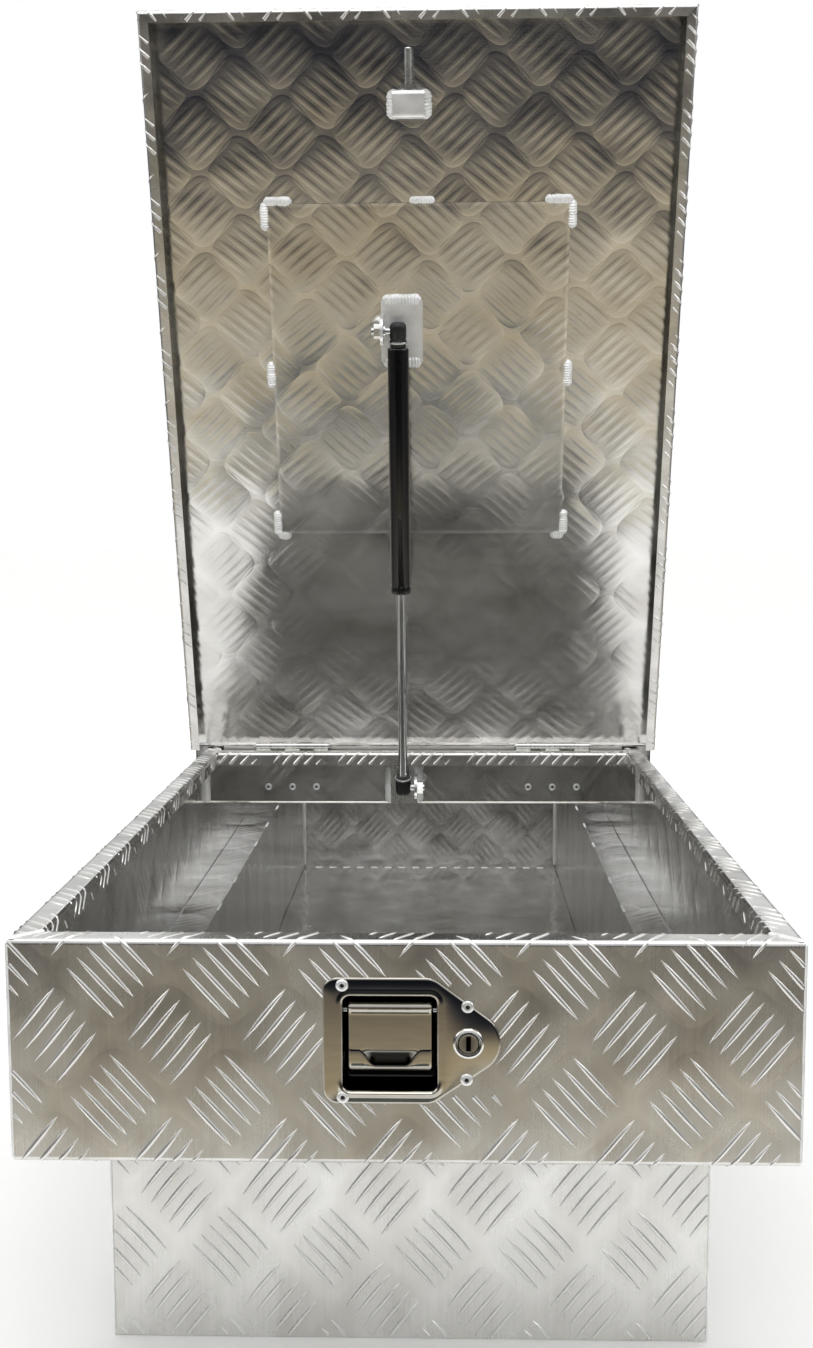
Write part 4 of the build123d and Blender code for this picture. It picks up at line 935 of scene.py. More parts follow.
class TOOLBOX_OT_lids(bpy.types.Operator):
    """Folds each lid's pan, whose skirts and lips meet in mitres at the front corners"""
    bl_idname = "toolbox.lids"
    bl_label = "Lid pans"

    def execute(self, context):
        wide, front, rear, low, top = PAN_HIGH[0], PAN_LOW[1], PAN_HIGH[1], PAN_LOW[2], PAN_HIGH[2]
        right = [(wide - LID_LIP, low), (wide, low), (wide, top)]
        points = right + [(-x, z) for x, z in right[::-1]]
        flat = np.linspace(OUTER_BEND, 2 * wide - OUTER_BEND, LID_COLUMNS + 1)
        side = Fold(points, 1, 2, flat)

        def side_limits(section):
            start = front + np.maximum(wide - np.abs(section[:, 0]), 0.0)
            on_top = (side.run > OUTER_BEND - 0.01) & (side.run < 2 * wide - OUTER_BEND + 0.01)
            return np.where(on_top, front + OUTER_BEND, start), 0 * start + rear

        nose_points = [(front + LID_LIP, low), (front, low), (front, top), (front + OUTER_BEND, top)]
        nose = Fold(nose_points, -1, 2)

        def nose_limits(section):
            reach = wide - (section[:, 0] - front)
            return -reach, reach

        skin = Skin()
        bent_sheet(skin, side, along_y, side_limits, LID_PHASE, 24, shut=(1, 1, 0, 1))
        bent_sheet(skin, nose, along_x, nose_limits, NOSE_PHASE, LID_COLUMNS, shut=(1, 0, 0, 0))
        self.stiffener()
        raised = Skin()
        bars(raised, side, along_y, (front + 4, rear), (side.run[0], side.run[-1]), LID_PHASE)
        bars(raised, nose, along_x, (-wide, wide), (nose.run[0], 0.0), NOSE_PHASE)
        for end, place in (("near", opened), ("far", far_opened)):
            skin.piece(f"{end}_lid_sheet", f"{end}_lid", "tread_plate", [f"{end}_lid_pan"], place,
                       weld=True)
            raised.piece(f"{end}_lid_bars", f"{end}_lid", "tread_plate", (), place)
        return {"FINISHED"}

    def stiffener(self):
        """The flat plate welded inside, smooth side out, over a grid of its own pattern."""
        low, high = shut_box("near_lid_stiffener")
        share = np.concatenate([[0.0, 0.006], np.linspace(0.012, 0.988, 11), [0.994, 1.0]])
        x, y = np.meshgrid(*(a + (b - a) * share for a, b in zip(low[:2], high[:2])))
        outer = np.stack([x, y, 0 * x + high[2]], axis=-1)
        flat = np.stack([y - STIFFENER_PHASE[0], x - STIFFENER_PHASE[1]], axis=-1)
        # The edge rows take the bars' crest mark, so the tread finish lightens them: a painted highlight along
        # the chamfered edges.
        rim = np.zeros(x.shape)
        rim[[0, 1, -2, -1]] = rim[:, [0, 1, -2, -1]] = 1.0
        outer[[0, -1], :, 2] -= STIFFENER_CHAMFER
        outer[1:-1, [0, -1], 2] -= STIFFENER_CHAMFER
        skin = Skin()
        inner = outer - [0, 0, 1] * (outer[..., 2:] - low[2])
        double(skin, outer, inner, np.tile([0.0, 0.0, 1.0], (x.size, 1)), flat, bar=rim)
        for end, place in (("near", opened), ("far", far_opened)):
            skin.piece(f"{end}_stiffener_sheet", f"{end}_lid", "plain_aluminium",
                       [f"{end}_lid_stiffener"], place, finish="tread_plate")


# ---- welds ----------------------------------------------------------------------
class TOOLBOX_OT_welds(bpy.types.Operator):
    """Lays the weld beads of the body and of the lids"""
    bl_idname = "toolbox.welds"
    bl_label = "Weld beads"

    def execute(self, context):
        sizes = context.scene.tool_box_welds
        self.lid_beads(sizes.width / MM, sizes.height / MM)
        self.body_beads()
        return {"FINISHED"}

    def lid_beads(self, width, height):
        """Short beads round the stiffener and brackets, and seams at the front corners."""
        low, high = shut_box("near_lid_stiffener")
        under = high[2]
        down = (0, 0, -1)
        middle = (low[1] + high[1]) / 2
        skin = Skin()
        # Stiffener: three beads down each side, one beside each corner, one in front.
        plan = []
        for way, edge in ((-1, low[0]), (1, high[0])):
            for y0, y1 in ((high[1] - 26, high[1] + 2), (middle - 15, middle + 13),
                           (low[1] - 2, low[1] + 26)):
                plan.append(((edge + way * 2, y0), (edge + way * 2, y1)))
            for y, inner in ((low[1] - 2, 26), (high[1] + 2, 12)):
                plan.append(((edge - way * inner, y), (edge + way * 3, y)))
        for seed, (start, end) in enumerate(plan, start=1):
            bead(skin, (*start, under), (*end, under), down, width + 1.5, height + 0.6, seed=seed)
        bead(skin, (-9, low[1] - 2, under), (17, low[1] - 2, under), down, width, height, seed=31)
        # Strut bracket: a bead above and below; striker bracket: one at each side.
        low, high = shut_box("near_strut_upper_bracket")
        for y in (low[1], high[1]):
            bead(skin, (low[0] + 1, y, high[2]), (high[0] - 1, y, high[2]), down, width + 4, 5.0, 3.4,
                 seed=40)
        low, high = shut_box("near_striker_bracket")
        for x in (low[0], high[0]):
            bead(skin, (x, low[1] - 1, under), (x, high[1] + 1, under), down, width + 5, 6.5, 3.4,
                 seed=50)
        # Pan: the mitred corners outside and in.
        wide, front = PAN_HIGH[0], PAN_LOW[1]
        for way in (-1, 1):
            x, y = way * (wide - 0.3), front + 0.3
            bead(skin, (x, y, PAN_LOW[2] + 1), (x, y, PAN_HIGH[2] - 1.5), (way, -1, 0), 3.4, 0.8, 1.8,
                 seed=60)
            x, y = way * (wide - 1.6), front + 1.6
            bead(skin, (x, y, PAN_LOW[2] + 2), (x, y, under), (-way, 1, 0), 5.0, 2.2, seed=61)
        leaves = swing(vertices_mm("near_hinge_moving_leaves"), LID_OPEN)
        for half in (leaves[leaves[:, 0] < 0], leaves[leaves[:, 0] > 0]):
            low, high = corners(half)
            y, z = low[1] - 1, PAN_HIGH[2]
            bead(skin, (low[0], y, z), (high[0], y, z), (0, 0, 1), 5.0, 2.0, seed=70)
        for end, place in (("near", opened), ("far", far_opened)):
            skin.piece(f"{end}_lid_beads", f"{end}_lid", "weld_metal", [f"{end}_lid_welds"], place,
                       sharp=60)

    def body_beads(self):
        """Uprights in the corners, ties over the rim's mitres, and seams of the tub."""
        skin = Skin()
        wall = HALF_W - SHEET
        strip = BRIDGE_LOW[1] + LEDGE
        top, floor = RIM_Z - RETURN, BRIDGE_LOW[2]
        above = (0, 0, 1)
        for way in (-1, 1):
            # Upright corners against the bridge and against the end panel.
            for y, foot, aside, width, seed in ((strip, floor + 1, -1, 8.0, 80),
                                                (END_Y + SHEET, SHELF_Z + 8, 1, 6.0, 81)):
                corner_bead(skin, (way * wall, y, foot), (way * wall, y, top), (-way, aside, 0), width,
                            seed=seed)
            # The rim's mitre, the end panel's outer corner and the bridge's tie to the rim.
            x0, x1 = way * (HALF_W - 1.5), way * (HALF_W - LEDGE)
            bead(skin, (x0, END_Y + 1.5, RIM_Z), (x1, END_Y + LEDGE, RIM_Z), above, 5.0, 1.3, 2.2,
                 seed=82)
            x, y = way * (HALF_W - 0.4), END_Y + 0.4
            bead(skin, (x, y, SHELF_Z + 2), (x, y, RIM_Z - 2), (way, -1, 0), 2.6, 0.6, 2.0, seed=83)
            bead(skin, (x1, strip - LEDGE + 1, RIM_Z), (x1, strip - 2, RIM_Z), above, 5.0, 1.2, 2.2,
                 seed=84)
            # The tub's end: outside, inside, and stitches along the shelf.
            x, y = way * HALF_TUB, TUB_END_LOW[1] + 0.4
            bead(skin, (x, y, 3), (x, y, SHELF_Z - 2), (way, -0.6, 0), 2.8, 0.8, 2.0, seed=85)
            x = way * (HALF_TUB - SHEET)
            corner_bead(skin, (x, TUB_Y, SHEET + 5), (x, TUB_Y, SHELF_Z - 2), (-way, 1, 0), 4.5,
                        seed=86)
            x = way * (HALF_TUB - 0.8)
            for k, y in enumerate(np.arange(TUB_Y + 20, -60, 118.0)):
                bead(skin, (x, y, TUB_TOP), (x, y + 26, TUB_TOP), above, 3.0, 0.9, 2.0, seed=100 + k)
        for k, x in enumerate(np.linspace(-196, 184, 17)):
            corner_bead(skin, (x, TUB_Y, SHEET), (x + 12, TUB_Y, SHEET), (0, 1, 1), 2.0, seed=120 + k)
        y = TUB_Y - 0.8
        for k, x in enumerate(np.linspace(-185, 145, 4)):
            bead(skin, (x, y, TUB_TOP), (x + 40, y, TUB_TOP), above, 3.0, 1.0, seed=130 + k)
        # Both sides of the strut's lower bracket.
        left, right = near_box("strut_lower_brackets")
        for x, way in ((left[0], -1), (right[0], 1)):
            corner_bead(skin, (x, strip, floor + 2), (x, strip, top - 2), (way, -1, 0), 9.0, 3.2, 140)
        for end, place in (("near", None), ("far", half_turn)):
            skin.piece(f"{end}_body_beads", "box", "weld_metal", ["body_weld_beads"], place, sharp=60)


# ---- gas struts -----------------------------------------------------------------
class TOOLBOX_OT_struts(bpy.types.Operator):
    """Turns the gas struts: tube, gland, rod, sockets and clips"""
    bl_idname = "toolbox.struts"
    bl_label = "Gas struts"

    def execute(self, context):
        low = np.array(JOINTS["near_strut_swing"]["pos_m"]) / MM
        ball = box_mm("near_strut_upper_ball")
        high = np.array([low[0], (ball[0][1] + ball[1][1]) / 2, (ball[0][2] + ball[1][2]) / 2])
        axis = (high - low) / np.linalg.norm(high - low)
        length = np.linalg.norm(high - low)

        def span(node):
            place = (vertices_mm(node) - low) @ axis
            return place.min(), place.max()

        foot, head = span("near_strut_tube")
        tube = [(foot, 6.0), (foot, 9.6), (foot + 0.5, 10.5), (foot + 1.6, 11.0), (foot + 6.4, 11.0),
                (foot + 7.2, 10.5), (foot + 8.4, 10.45), (foot + 9.2, 11.0), (head - 2.6, 11.0),
                (head - 1.4, 10.7), (head - 0.4, 9.6), (head, 8.2), (head, 5.0)]
        gland = [(foot - 0.5, 5.1), (foot - 0.5, 7.6), (foot + 0.1, 8.4), (foot + 3.0, 8.6),
                 (foot + 3.0, 5.1)]
        rod_low, rod_high = span("near_strut_rod")
        rod = [(rod_low, 5.0), (rod_high - 14, 5.0), (rod_high - 12, 9.0), (rod_high - 1, 9.0),
               (rod_high, 5.0)]
        inner = 14.0
        socket = [(-9.0, 3.5), (-8.6, 5.6), (-7.4, 7.3), (-5.6, 8.3), (-4.0, 8.6), (6.0, 8.6),
                  (7.0, 8.1), (8.4, 8.1), (9.0, 8.7), (11.6, 8.7), (12.6, 8.2), (inner, 7.4),
                  (inner + 0.6, 6.2)]
        upper = socket[:-2] + [(length - head, 8.0), (length - head, 4.0)]
        clip_low = inner - 3.4
        clip = [(clip_low, 8.6), (clip_low, 9.3), (clip_low + 0.5, 9.6), (clip_low + 1.3, 9.6),
                (clip_low + 1.8, 9.3), (clip_low + 1.8, 8.6)]
        parts = {
            "strut_tube_enamelled": ("strut_tube", "strut_paint", "strut_tube", tube, low, axis),
            "strut_gland_lip": ("strut_tube", "black_plastic", "strut_gland", gland, low, axis),
            "strut_rod_ground": ("strut_rod", "chrome_rod", "strut_rod", rod, low, axis),
            "strut_lower_cup": ("strut_rod", "black_plastic", "strut_lower_socket", socket, low, axis),
            "strut_lower_clip": ("strut_rod", "steel_hardware", "strut_lower_socket", clip, low, axis),
            "strut_upper_cup": ("strut_tube", "black_plastic", "strut_upper_socket", upper, high, -axis),
            "strut_upper_clip": ("strut_tube", "steel_hardware", "strut_upper_socket", clip, high, -axis),
        }
        for name, (body, slot, node, profile, origin, way) in parts.items():
            skin = Skin()
            lathe(skin, origin, way, profile, 64)
            for end, place in (("near", None), ("far", half_turn)):
                skin.piece(f"{end}_{name}", f"{end}_{body}", slot, [f"{end}_{node}"], place, sharp=32)
        return {"FINISHED"}


# ---- latches --------------------------------------------------------------------
# Face plate: its straight shoulder from the left edge, and its corner radii from the top
# right round to the lower right.
SHOULDER = 79.5
PLATE_RADII = (14, 9, 9, 14)
CUP_RADIUS = 6.0
# Rivets: from the face plate's left and top edges, and from hinge rivet to hinge rivet.
LATCH_RIVETS = ((12.5, 4.8), (12.5, 78.4), (92.3, 18.5), (91.6, 66.4))
HINGE_RIVET_STEP = 28.0
# Paddle: its foot under the CAD box and its top below it, the dip's and the step line's
# heights over the foot, and the cheeks' radius about the pin.
FOOT_DROP, TOP_GAP = 5.0, 1.3
DIP_HEIGHT, STEP_HEIGHT = 4.6, 15.4
CHEEK_RADIUS = 6.0


def rounded(left, right, low, high, radii):
    """A closed outline with its four corners rounded, from the right and upwards: each
    corner is a quarter circle of its own radius, with a point every three degrees."""
    places = ((right, high, -1, -1, 0), (left, high, 1, -1, 90),
              (left, low, 1, 1, 180), (right, low, -1, 1, 270))
    parts = []
    for (x, z, sx, sz, start), radius in zip(places, radii):
        angle = np.radians(np.linspace(start, start + 90, 31))
        parts.append(np.stack([x + sx * radius + radius * np.cos(angle),
                               z + sz * radius + radius * np.sin(angle)], axis=-1))
    return np.concatenate(parts)


def radial(outline, centre, count=256):
    """An outline's points at even angles round a centre inside it, by interpolation of its
    distance over its angle."""
    side = np.roll(outline, -1, axis=0) - outline
    ring = np.concatenate([outline + side * k / 40 for k in range(40)])
    away = ring - centre
    angle = np.arctan2(away[:, 1], away[:, 0])
    order = np.argsort(angle)
    even = np.linspace(-np.pi, np.pi, count, endpoint=False)
    distance = np.interp(even, angle[order], np.linalg.norm(away, axis=1)[order], period=2 * np.pi)
    return centre + distance[:, None] * np.stack([np.cos(even), np.sin(even)], axis=-1)


class TOOLBOX_OT_latches(bpy.types.Operator):
    """Presses each latch: face plate with its cup, paddle, lock ring and key plug"""
    bl_idname = "toolbox.latches"
    bl_label = "Latches"

    def execute(self, context):
        low, high = near_box("latch_faceplates")
        self.front = low[1]
        self.face_plate(low, high)
        self.lock()
        self.paddle()
        self.rivets(low, high)
        return {"FINISHED"}

    def place_both(self, skin, name, body, slot, node, sharp=30, finish=None):
        """The near piece and its far twin; body and node may differ from end to end."""
        for end, place in (("near", None), ("far", half_turn)):
            skin.piece(f"{end}_{name}", body.format(end), slot, [node.format(end)], place, sharp=sharp,
                       finish=finish)

    def rivets(self, low, high):
        """Blind rivets of the face plate and the hinges: turned domes, sunk in the middle,
        with the broken mandrel at the bottom in a black finish: the mandrel's dark steel, and painted shade in
        the hollow."""
        dome = [(-5.6, 0.4), (-5.6, 2.9), (-3.3, 2.9), (-3.3, 1.9), (0.0, 1.9), (0.0, 3.9),
                (0.25, 4.05), (0.7, 3.9), (1.15, 3.4), (1.45, 2.7), (1.55, 2.0), (1.45, 1.55),
                (1.1, 1.4), (0.5, 1.35)]
        core = [(0.3, 1.38), (0.62, 1.38), (0.72, 0.8)]
        plate = [(low[0] + x, high[2] - z) for x, z in LATCH_RIVETS]
        leaf = swing(vertices_mm("near_hinge_moving_leaves"), LID_OPEN)
        leaf = leaf[leaf[:, 0] > 0][:, 0]
        middle = (leaf.min() + leaf.max()) / 2
        rivet_low, rivet_high = near_box("hinge_rivets")
        level = (rivet_low[2] + rivet_high[2]) / 2
        hinge = [(way * middle + step, level) for way in (-1, 1)
                 for step in (-HINGE_RIVET_STEP, 0.0, HINGE_RIVET_STEP)]
        for name, places, face, node in (("latch", plate, self.front, "latch_rivets"),
                                         ("hinge", hinge, BRIDGE_LOW[1] + LEDGE, "hinge_rivets")):
            heads, cores = Skin(), Skin()
            for x, z in places:
                lathe(heads, np.array([x, face, z]), (0, -1, 0), dome, 32)
                lathe(cores, np.array([x, face, z]), (0, -1, 0), core, 20)
            self.place_both(heads, f"{name}_rivet_heads", "box", "steel_hardware", node, 40,
                            "satin_aluminium")
            # The mandrels take a black finish: their own dark steel, and painted shade in the rivet's hollow.
            self.place_both(cores, f"{name}_rivet_mandrels", "box", "steel_hardware", node, 40,
                            "black_plastic")

    def face_plate(self, low, high):
        """Rings from the cup's floor out to the plate's rim and back round behind: every
        ring is the cup's or the plate's outline set in or out by its own amount. The plate's
        outline is the hull of a rounded rectangle and a circle about the lock; the roll
        round the cup swells along the bottom."""
        left, right = low[0] + CUP[0], low[0] + CUP[1]
        cup_top, cup_low = high[2] - CUP[2], high[2] - CUP[3]
        centre = np.array([(left + right) / 2, (cup_low + cup_top) / 2])
        lock = np.array(JOINTS["near_lock_turn"]["pos_m"])[[0, 2]] / MM
        nose_radius = high[0] - lock[0]
        shoulder = low[0] + SHOULDER
        face, wall, back = self.front, END_Y, high[1]

        def ring(kind, out, y):
            if kind == "cup":
                outline = rounded(left - out, right + out, cup_low - out, cup_top + out,
                                  [max(CUP_RADIUS + out, 0.6)] * 4)
            else:
                turn = np.linspace(0, 2 * np.pi, 120, endpoint=False)
                nose = lock + (nose_radius + out) * np.stack([np.cos(turn), np.sin(turn)], axis=-1)
                plate = rounded(low[0] - out, shoulder + out, low[2] - out, high[2] + out,
                                [radius + out for radius in PLATE_RADII])
                outline = np.concatenate([nose, plate])
                outline = outline[convex_hull_2d([tuple(p) for p in outline])]
            flat = radial(outline, centre)
            y = y - 2.2 * max(face - y, 0) * np.clip((cup_low + 9 - flat[:, 1]) / 9, 0, 1) ** 2
            return np.stack([flat[:, 0], 0 * flat[:, 0] + y, flat[:, 1]], axis=-1)

        floor = back - 1.2
        steps = [("cup", -20, floor), ("cup", -6, floor), ("cup", -4.4, floor - 0.2),
                 ("cup", -3.2, floor - 0.9), ("cup", -2.3, floor - 2.2), ("cup", -1.9, floor - 4),
                 ("cup", -1.3, wall + 1),
                 ("cup", -1.2, face + 1.1), ("cup", -0.95, face + 0.4), ("cup", -0.5, face - 0.12),
                 ("cup", 0.1, face - 0.34), ("cup", 0.8, face - 0.37), ("cup", 1.6, face - 0.25),
                 ("cup", 2.4, face - 0.1), ("cup", 3.1, face - 0.02), ("cup", 3.7, face),
                 ("plate", -1.6, face), ("plate", -0.7, face + 0.12), ("plate", -0.2, face + 0.45),
                 ("plate", 0, face + 0.9), ("plate", 0, wall - 0.15), ("plate", -0.2, wall),
                 ("cup", 2.2, wall), ("cup", 1.3, wall + 0.8), ("cup", 0.6, wall + 6), ("cup", 0.2, floor - 1),
                 ("cup", -1.4, back - 0.4), ("cup", -3.0, back), ("cup", -20, back)]
        rings = np.stack([ring(*step) for step in steps])
        poles = np.array([[centre[0], floor, centre[1]], [centre[0], back, centre[1]]])
        # Painted shade: the cup's floor and walls are darkened almost to black, fading out over the roll at
        # its mouth.
        painted_shade = [0.93] * 6 + [0.9, 0.72, 0.4, 0.1] + [0.0] * (len(steps) - 10)
        skin = Skin()
        ringed(skin, rings, poles, painted_shade)
        self.place_both(skin, "latch_face", "box", "polished_stainless", "latch_faceplates", 34)

    def lock(self):
        """The lock's ring, turned, and its plug with a keyway sunk in the face."""
        x, _, z = np.array(JOINTS["near_lock_turn"]["pos_m"]) / MM
        face = self.front
        outward = (0, -1, 0)
        ring = [(-22.0, 7.8), (-22.0, 8.5), (0.0, 8.5), (0.0, 9.8), (0.25, 10.0), (0.6, 9.95),
                (1.05, 9.7), (1.45, 9.3), (1.7, 8.8), (1.8, 8.4), (1.7, 8.1), (1.3, 7.9),
                (0.5, 7.8), (-22.0, 7.8)]
        skin = Skin()
        lathe(skin, np.array([x, face, z]), outward, ring, 72)
        self.place_both(skin, "lock_ring", "box", "lock_chrome", "lock_barrels", 30)
        centre = np.array([x, z])

        def slot(out, depth):
            flat = radial(rounded(x - 1.35 - out, x + 1.35 + out, z - 4.8 - out, z + 4.8 + out,
                                  [0.6 + max(out, 0)] * 4), centre, 96)
            return np.stack([flat[:, 0], 0 * flat[:, 0] + depth, flat[:, 1]], axis=-1)

        def disc(radius, depth):
            turn = np.linspace(-np.pi, np.pi, 96, endpoint=False)
            return np.stack([x + radius * np.cos(turn), 0 * turn + depth, z + radius * np.sin(turn)],
                            axis=-1)

        skin = Skin()
        top = face - 1.2
        floor, rear = top + 1.0, top + 24
        rings = np.stack([slot(-0.5, floor), slot(0, floor), slot(0, top + 0.25), slot(0.25, top),
                          disc(6.0, top), disc(6.3, top + 0.25), disc(6.9, top + 0.25),
                          disc(7.2, top), disc(7.5, top + 0.3), disc(7.6, top + 1.2),
                          disc(7.6, rear), disc(1.0, rear)])
        # Painted shade: the keyway, the groove in the plug's face and the gap round the plug are darkened
        # almost to black; the plug's face is darkened by half.
        ringed(skin, rings, np.array([[x, floor, z], [x, rear, z]]),
               [1.0, 1.0, 1.0, 0.75, 0.5, 0.9, 0.9, 0.5, 0.8, 0.95, 0.5, 0.5])
        self.place_both(skin, "key_plug", "{}_lock_plug", "lock_chrome", "{}_lock_plug", 34)

    def paddle(self):
        """The paddle: a sheet over a grid of X and height whose front is flat with a rolled
        top, proud under a line that dips in an S curve to both sides of the finger scoop,
        and hollowed above the dip; its sides turn back as cheeks."""
        low, high = box_mm("near_paddle")
        half = (high[0] - low[0]) / 2
        middle = (high[0] + low[0]) / 2
        foot, top = low[2] - FOOT_DROP, high[2] - TOP_GAP
        front = END_Y + 3.0
        dip, step = foot + DIP_HEIGHT, foot + STEP_HEIGHT
        across = np.concatenate([[-1.0] * 5, np.linspace(-1, 1, 61), [1.0] * 5])
        cheek = np.concatenate([[8.5, 6.0, 4.0, 2.4, 1.2], np.zeros(61), [1.2, 2.4, 4.0, 6.0, 8.5]])
        edge = np.abs(across) * half
        x = middle + across * half
        corner = 2.2
        near_edge = np.clip((edge - (half - corner)) / corner, 0, 1)
        roll = corner - np.sqrt(np.maximum(corner ** 2 - (near_edge * corner) ** 2, 0))
        s = np.clip((edge - 9.5) / 10.5, 0, 1)
        line = dip + (step - dip) * (s * s * (3 - 2 * s))
        share = np.array([0.0, 0.08, 0.18, 0.32, 0.5, 0.7, 0.9, 0.96, 1.0])[:, None]
        lower = foot + (line - foot) * share
        upper = line + 0.12 + (top - line - 0.12) * np.linspace(0, 1, 44)[:, None]
        z = np.concatenate([lower, upper])
        lip = -0.28 + 0.1 * np.clip((share - 0.9) / 0.1, 0, 1) ** 2 + 0 * line
        lip += 2.4 * np.clip(1 - (lower - foot) / 4.5, 0, 1) ** 2
        window = 1 - np.clip((edge - 12.0) / 8.0, 0, 1)
        depth = 4.2 * window * np.clip((step - 1.2 - upper) / (step - 1.2 - dip), 0, 1)
        bow = 3.6 - np.sqrt(np.maximum(3.6 ** 2 - np.clip(upper - (top - 3.6), 0, 3.59) ** 2, 0))
        ridge = -0.7 * np.exp(-((upper - (top - 4.2)) / 2.0) ** 2)
        shape = np.concatenate([lip, depth + bow + ridge])
        y = front + shape + roll + cheek
        # Over the pin the cheeks stay within a radius that clears the cup as the paddle turns.
        pin_y, pin = np.array(JOINTS["near_paddle_pull"]["pos_m"])[1:] / MM
        rise = np.maximum(z - pin, 0)
        y = np.minimum(y, pin_y + np.sqrt(np.maximum(CHEEK_RADIUS ** 2 - rise ** 2, 0)))
        outer = np.stack([x + 0 * z, y, z], axis=-1)
        turn_in = np.where(cheek > 0, -np.sign(across) * 1.4, 0.0)
        behind = np.where(cheek > 0, 0.0, 1.4)
        inner = outer + np.stack([turn_in + 0 * z, behind + 0 * z, 0 * z], axis=-1)
        # Painted shade: the foot under the lip and the scoop hollowed above the dip are darkened almost to
        # black.
        dark = np.concatenate([0.97 * np.clip(1 - (lower - foot) / 4.2, 0, 1) ** 0.8,
                               0.98 * window * np.clip((step + 0.2 - upper) / 2.4, 0, 1)])
        skin = Skin()
        double(skin, outer, inner, bar=dark)
        for way in (-1, 1):
            lathe(skin, np.array([middle + way * half, END_Y + 10.0, pin]), (-way, 0, 0),
                  [(0.0, 2.1), (0.0, 4.2), (0.3, 4.5), (1.5, 4.5), (1.5, 2.1), (0.0, 2.1)], 32)
        self.place_both(skin, "paddle_pressed", "{}_paddle", "polished_stainless", "{}_paddle", 36)


# ---- carried-over hardware ------------------------------------------------------
class TOOLBOX_OT_hardware(bpy.types.Operator):
    """Gives every CAD node that still shows its finish"""
    bl_idname = "toolbox.hardware"
    bl_label = "Hardware finishes"

    def execute(self, context):
        for node in frame["nodes"].values():
            slot = node.data.materials[0].name.split(".")[0]
            if slot not in FINISHES:
                raise RuntimeError(f"{node.name} has no finish for {slot}")
            if node.name.endswith(("strut_upper_bracket", "striker_bracket")):
                slot = "satin_aluminium"
            node.material_slots[0].material = FINISHES[slot]
        return {"FINISHED"}


# ---- floor, light and camera ----------------------------------------------------
def floor_patch(name, inner, outer, height, material):
    """A flat ring between two rectangles, or a plain rectangle when inner is None."""
    corner = np.array([[-1, -1], [1, -1], [1, 1], [-1, 1]], float)
    mesh = bpy.data.meshes.new(name)
    if inner is None:
        flat = corner * outer
        faces = [(0, 1, 2, 3)]
    else:
        flat = np.concatenate([corner * inner, corner * outer])
        faces = [(k, 4 + k, 4 + (k + 1) % 4, (k + 1) % 4) for k in range(4)]
    mesh.from_pydata([(*p, height) for p in flat], [], faces)
    mesh.materials.append(material)
    patch = bpy.data.objects.new(name, mesh)
    bpy.context.scene.collection.objects.link(patch)
    return patch


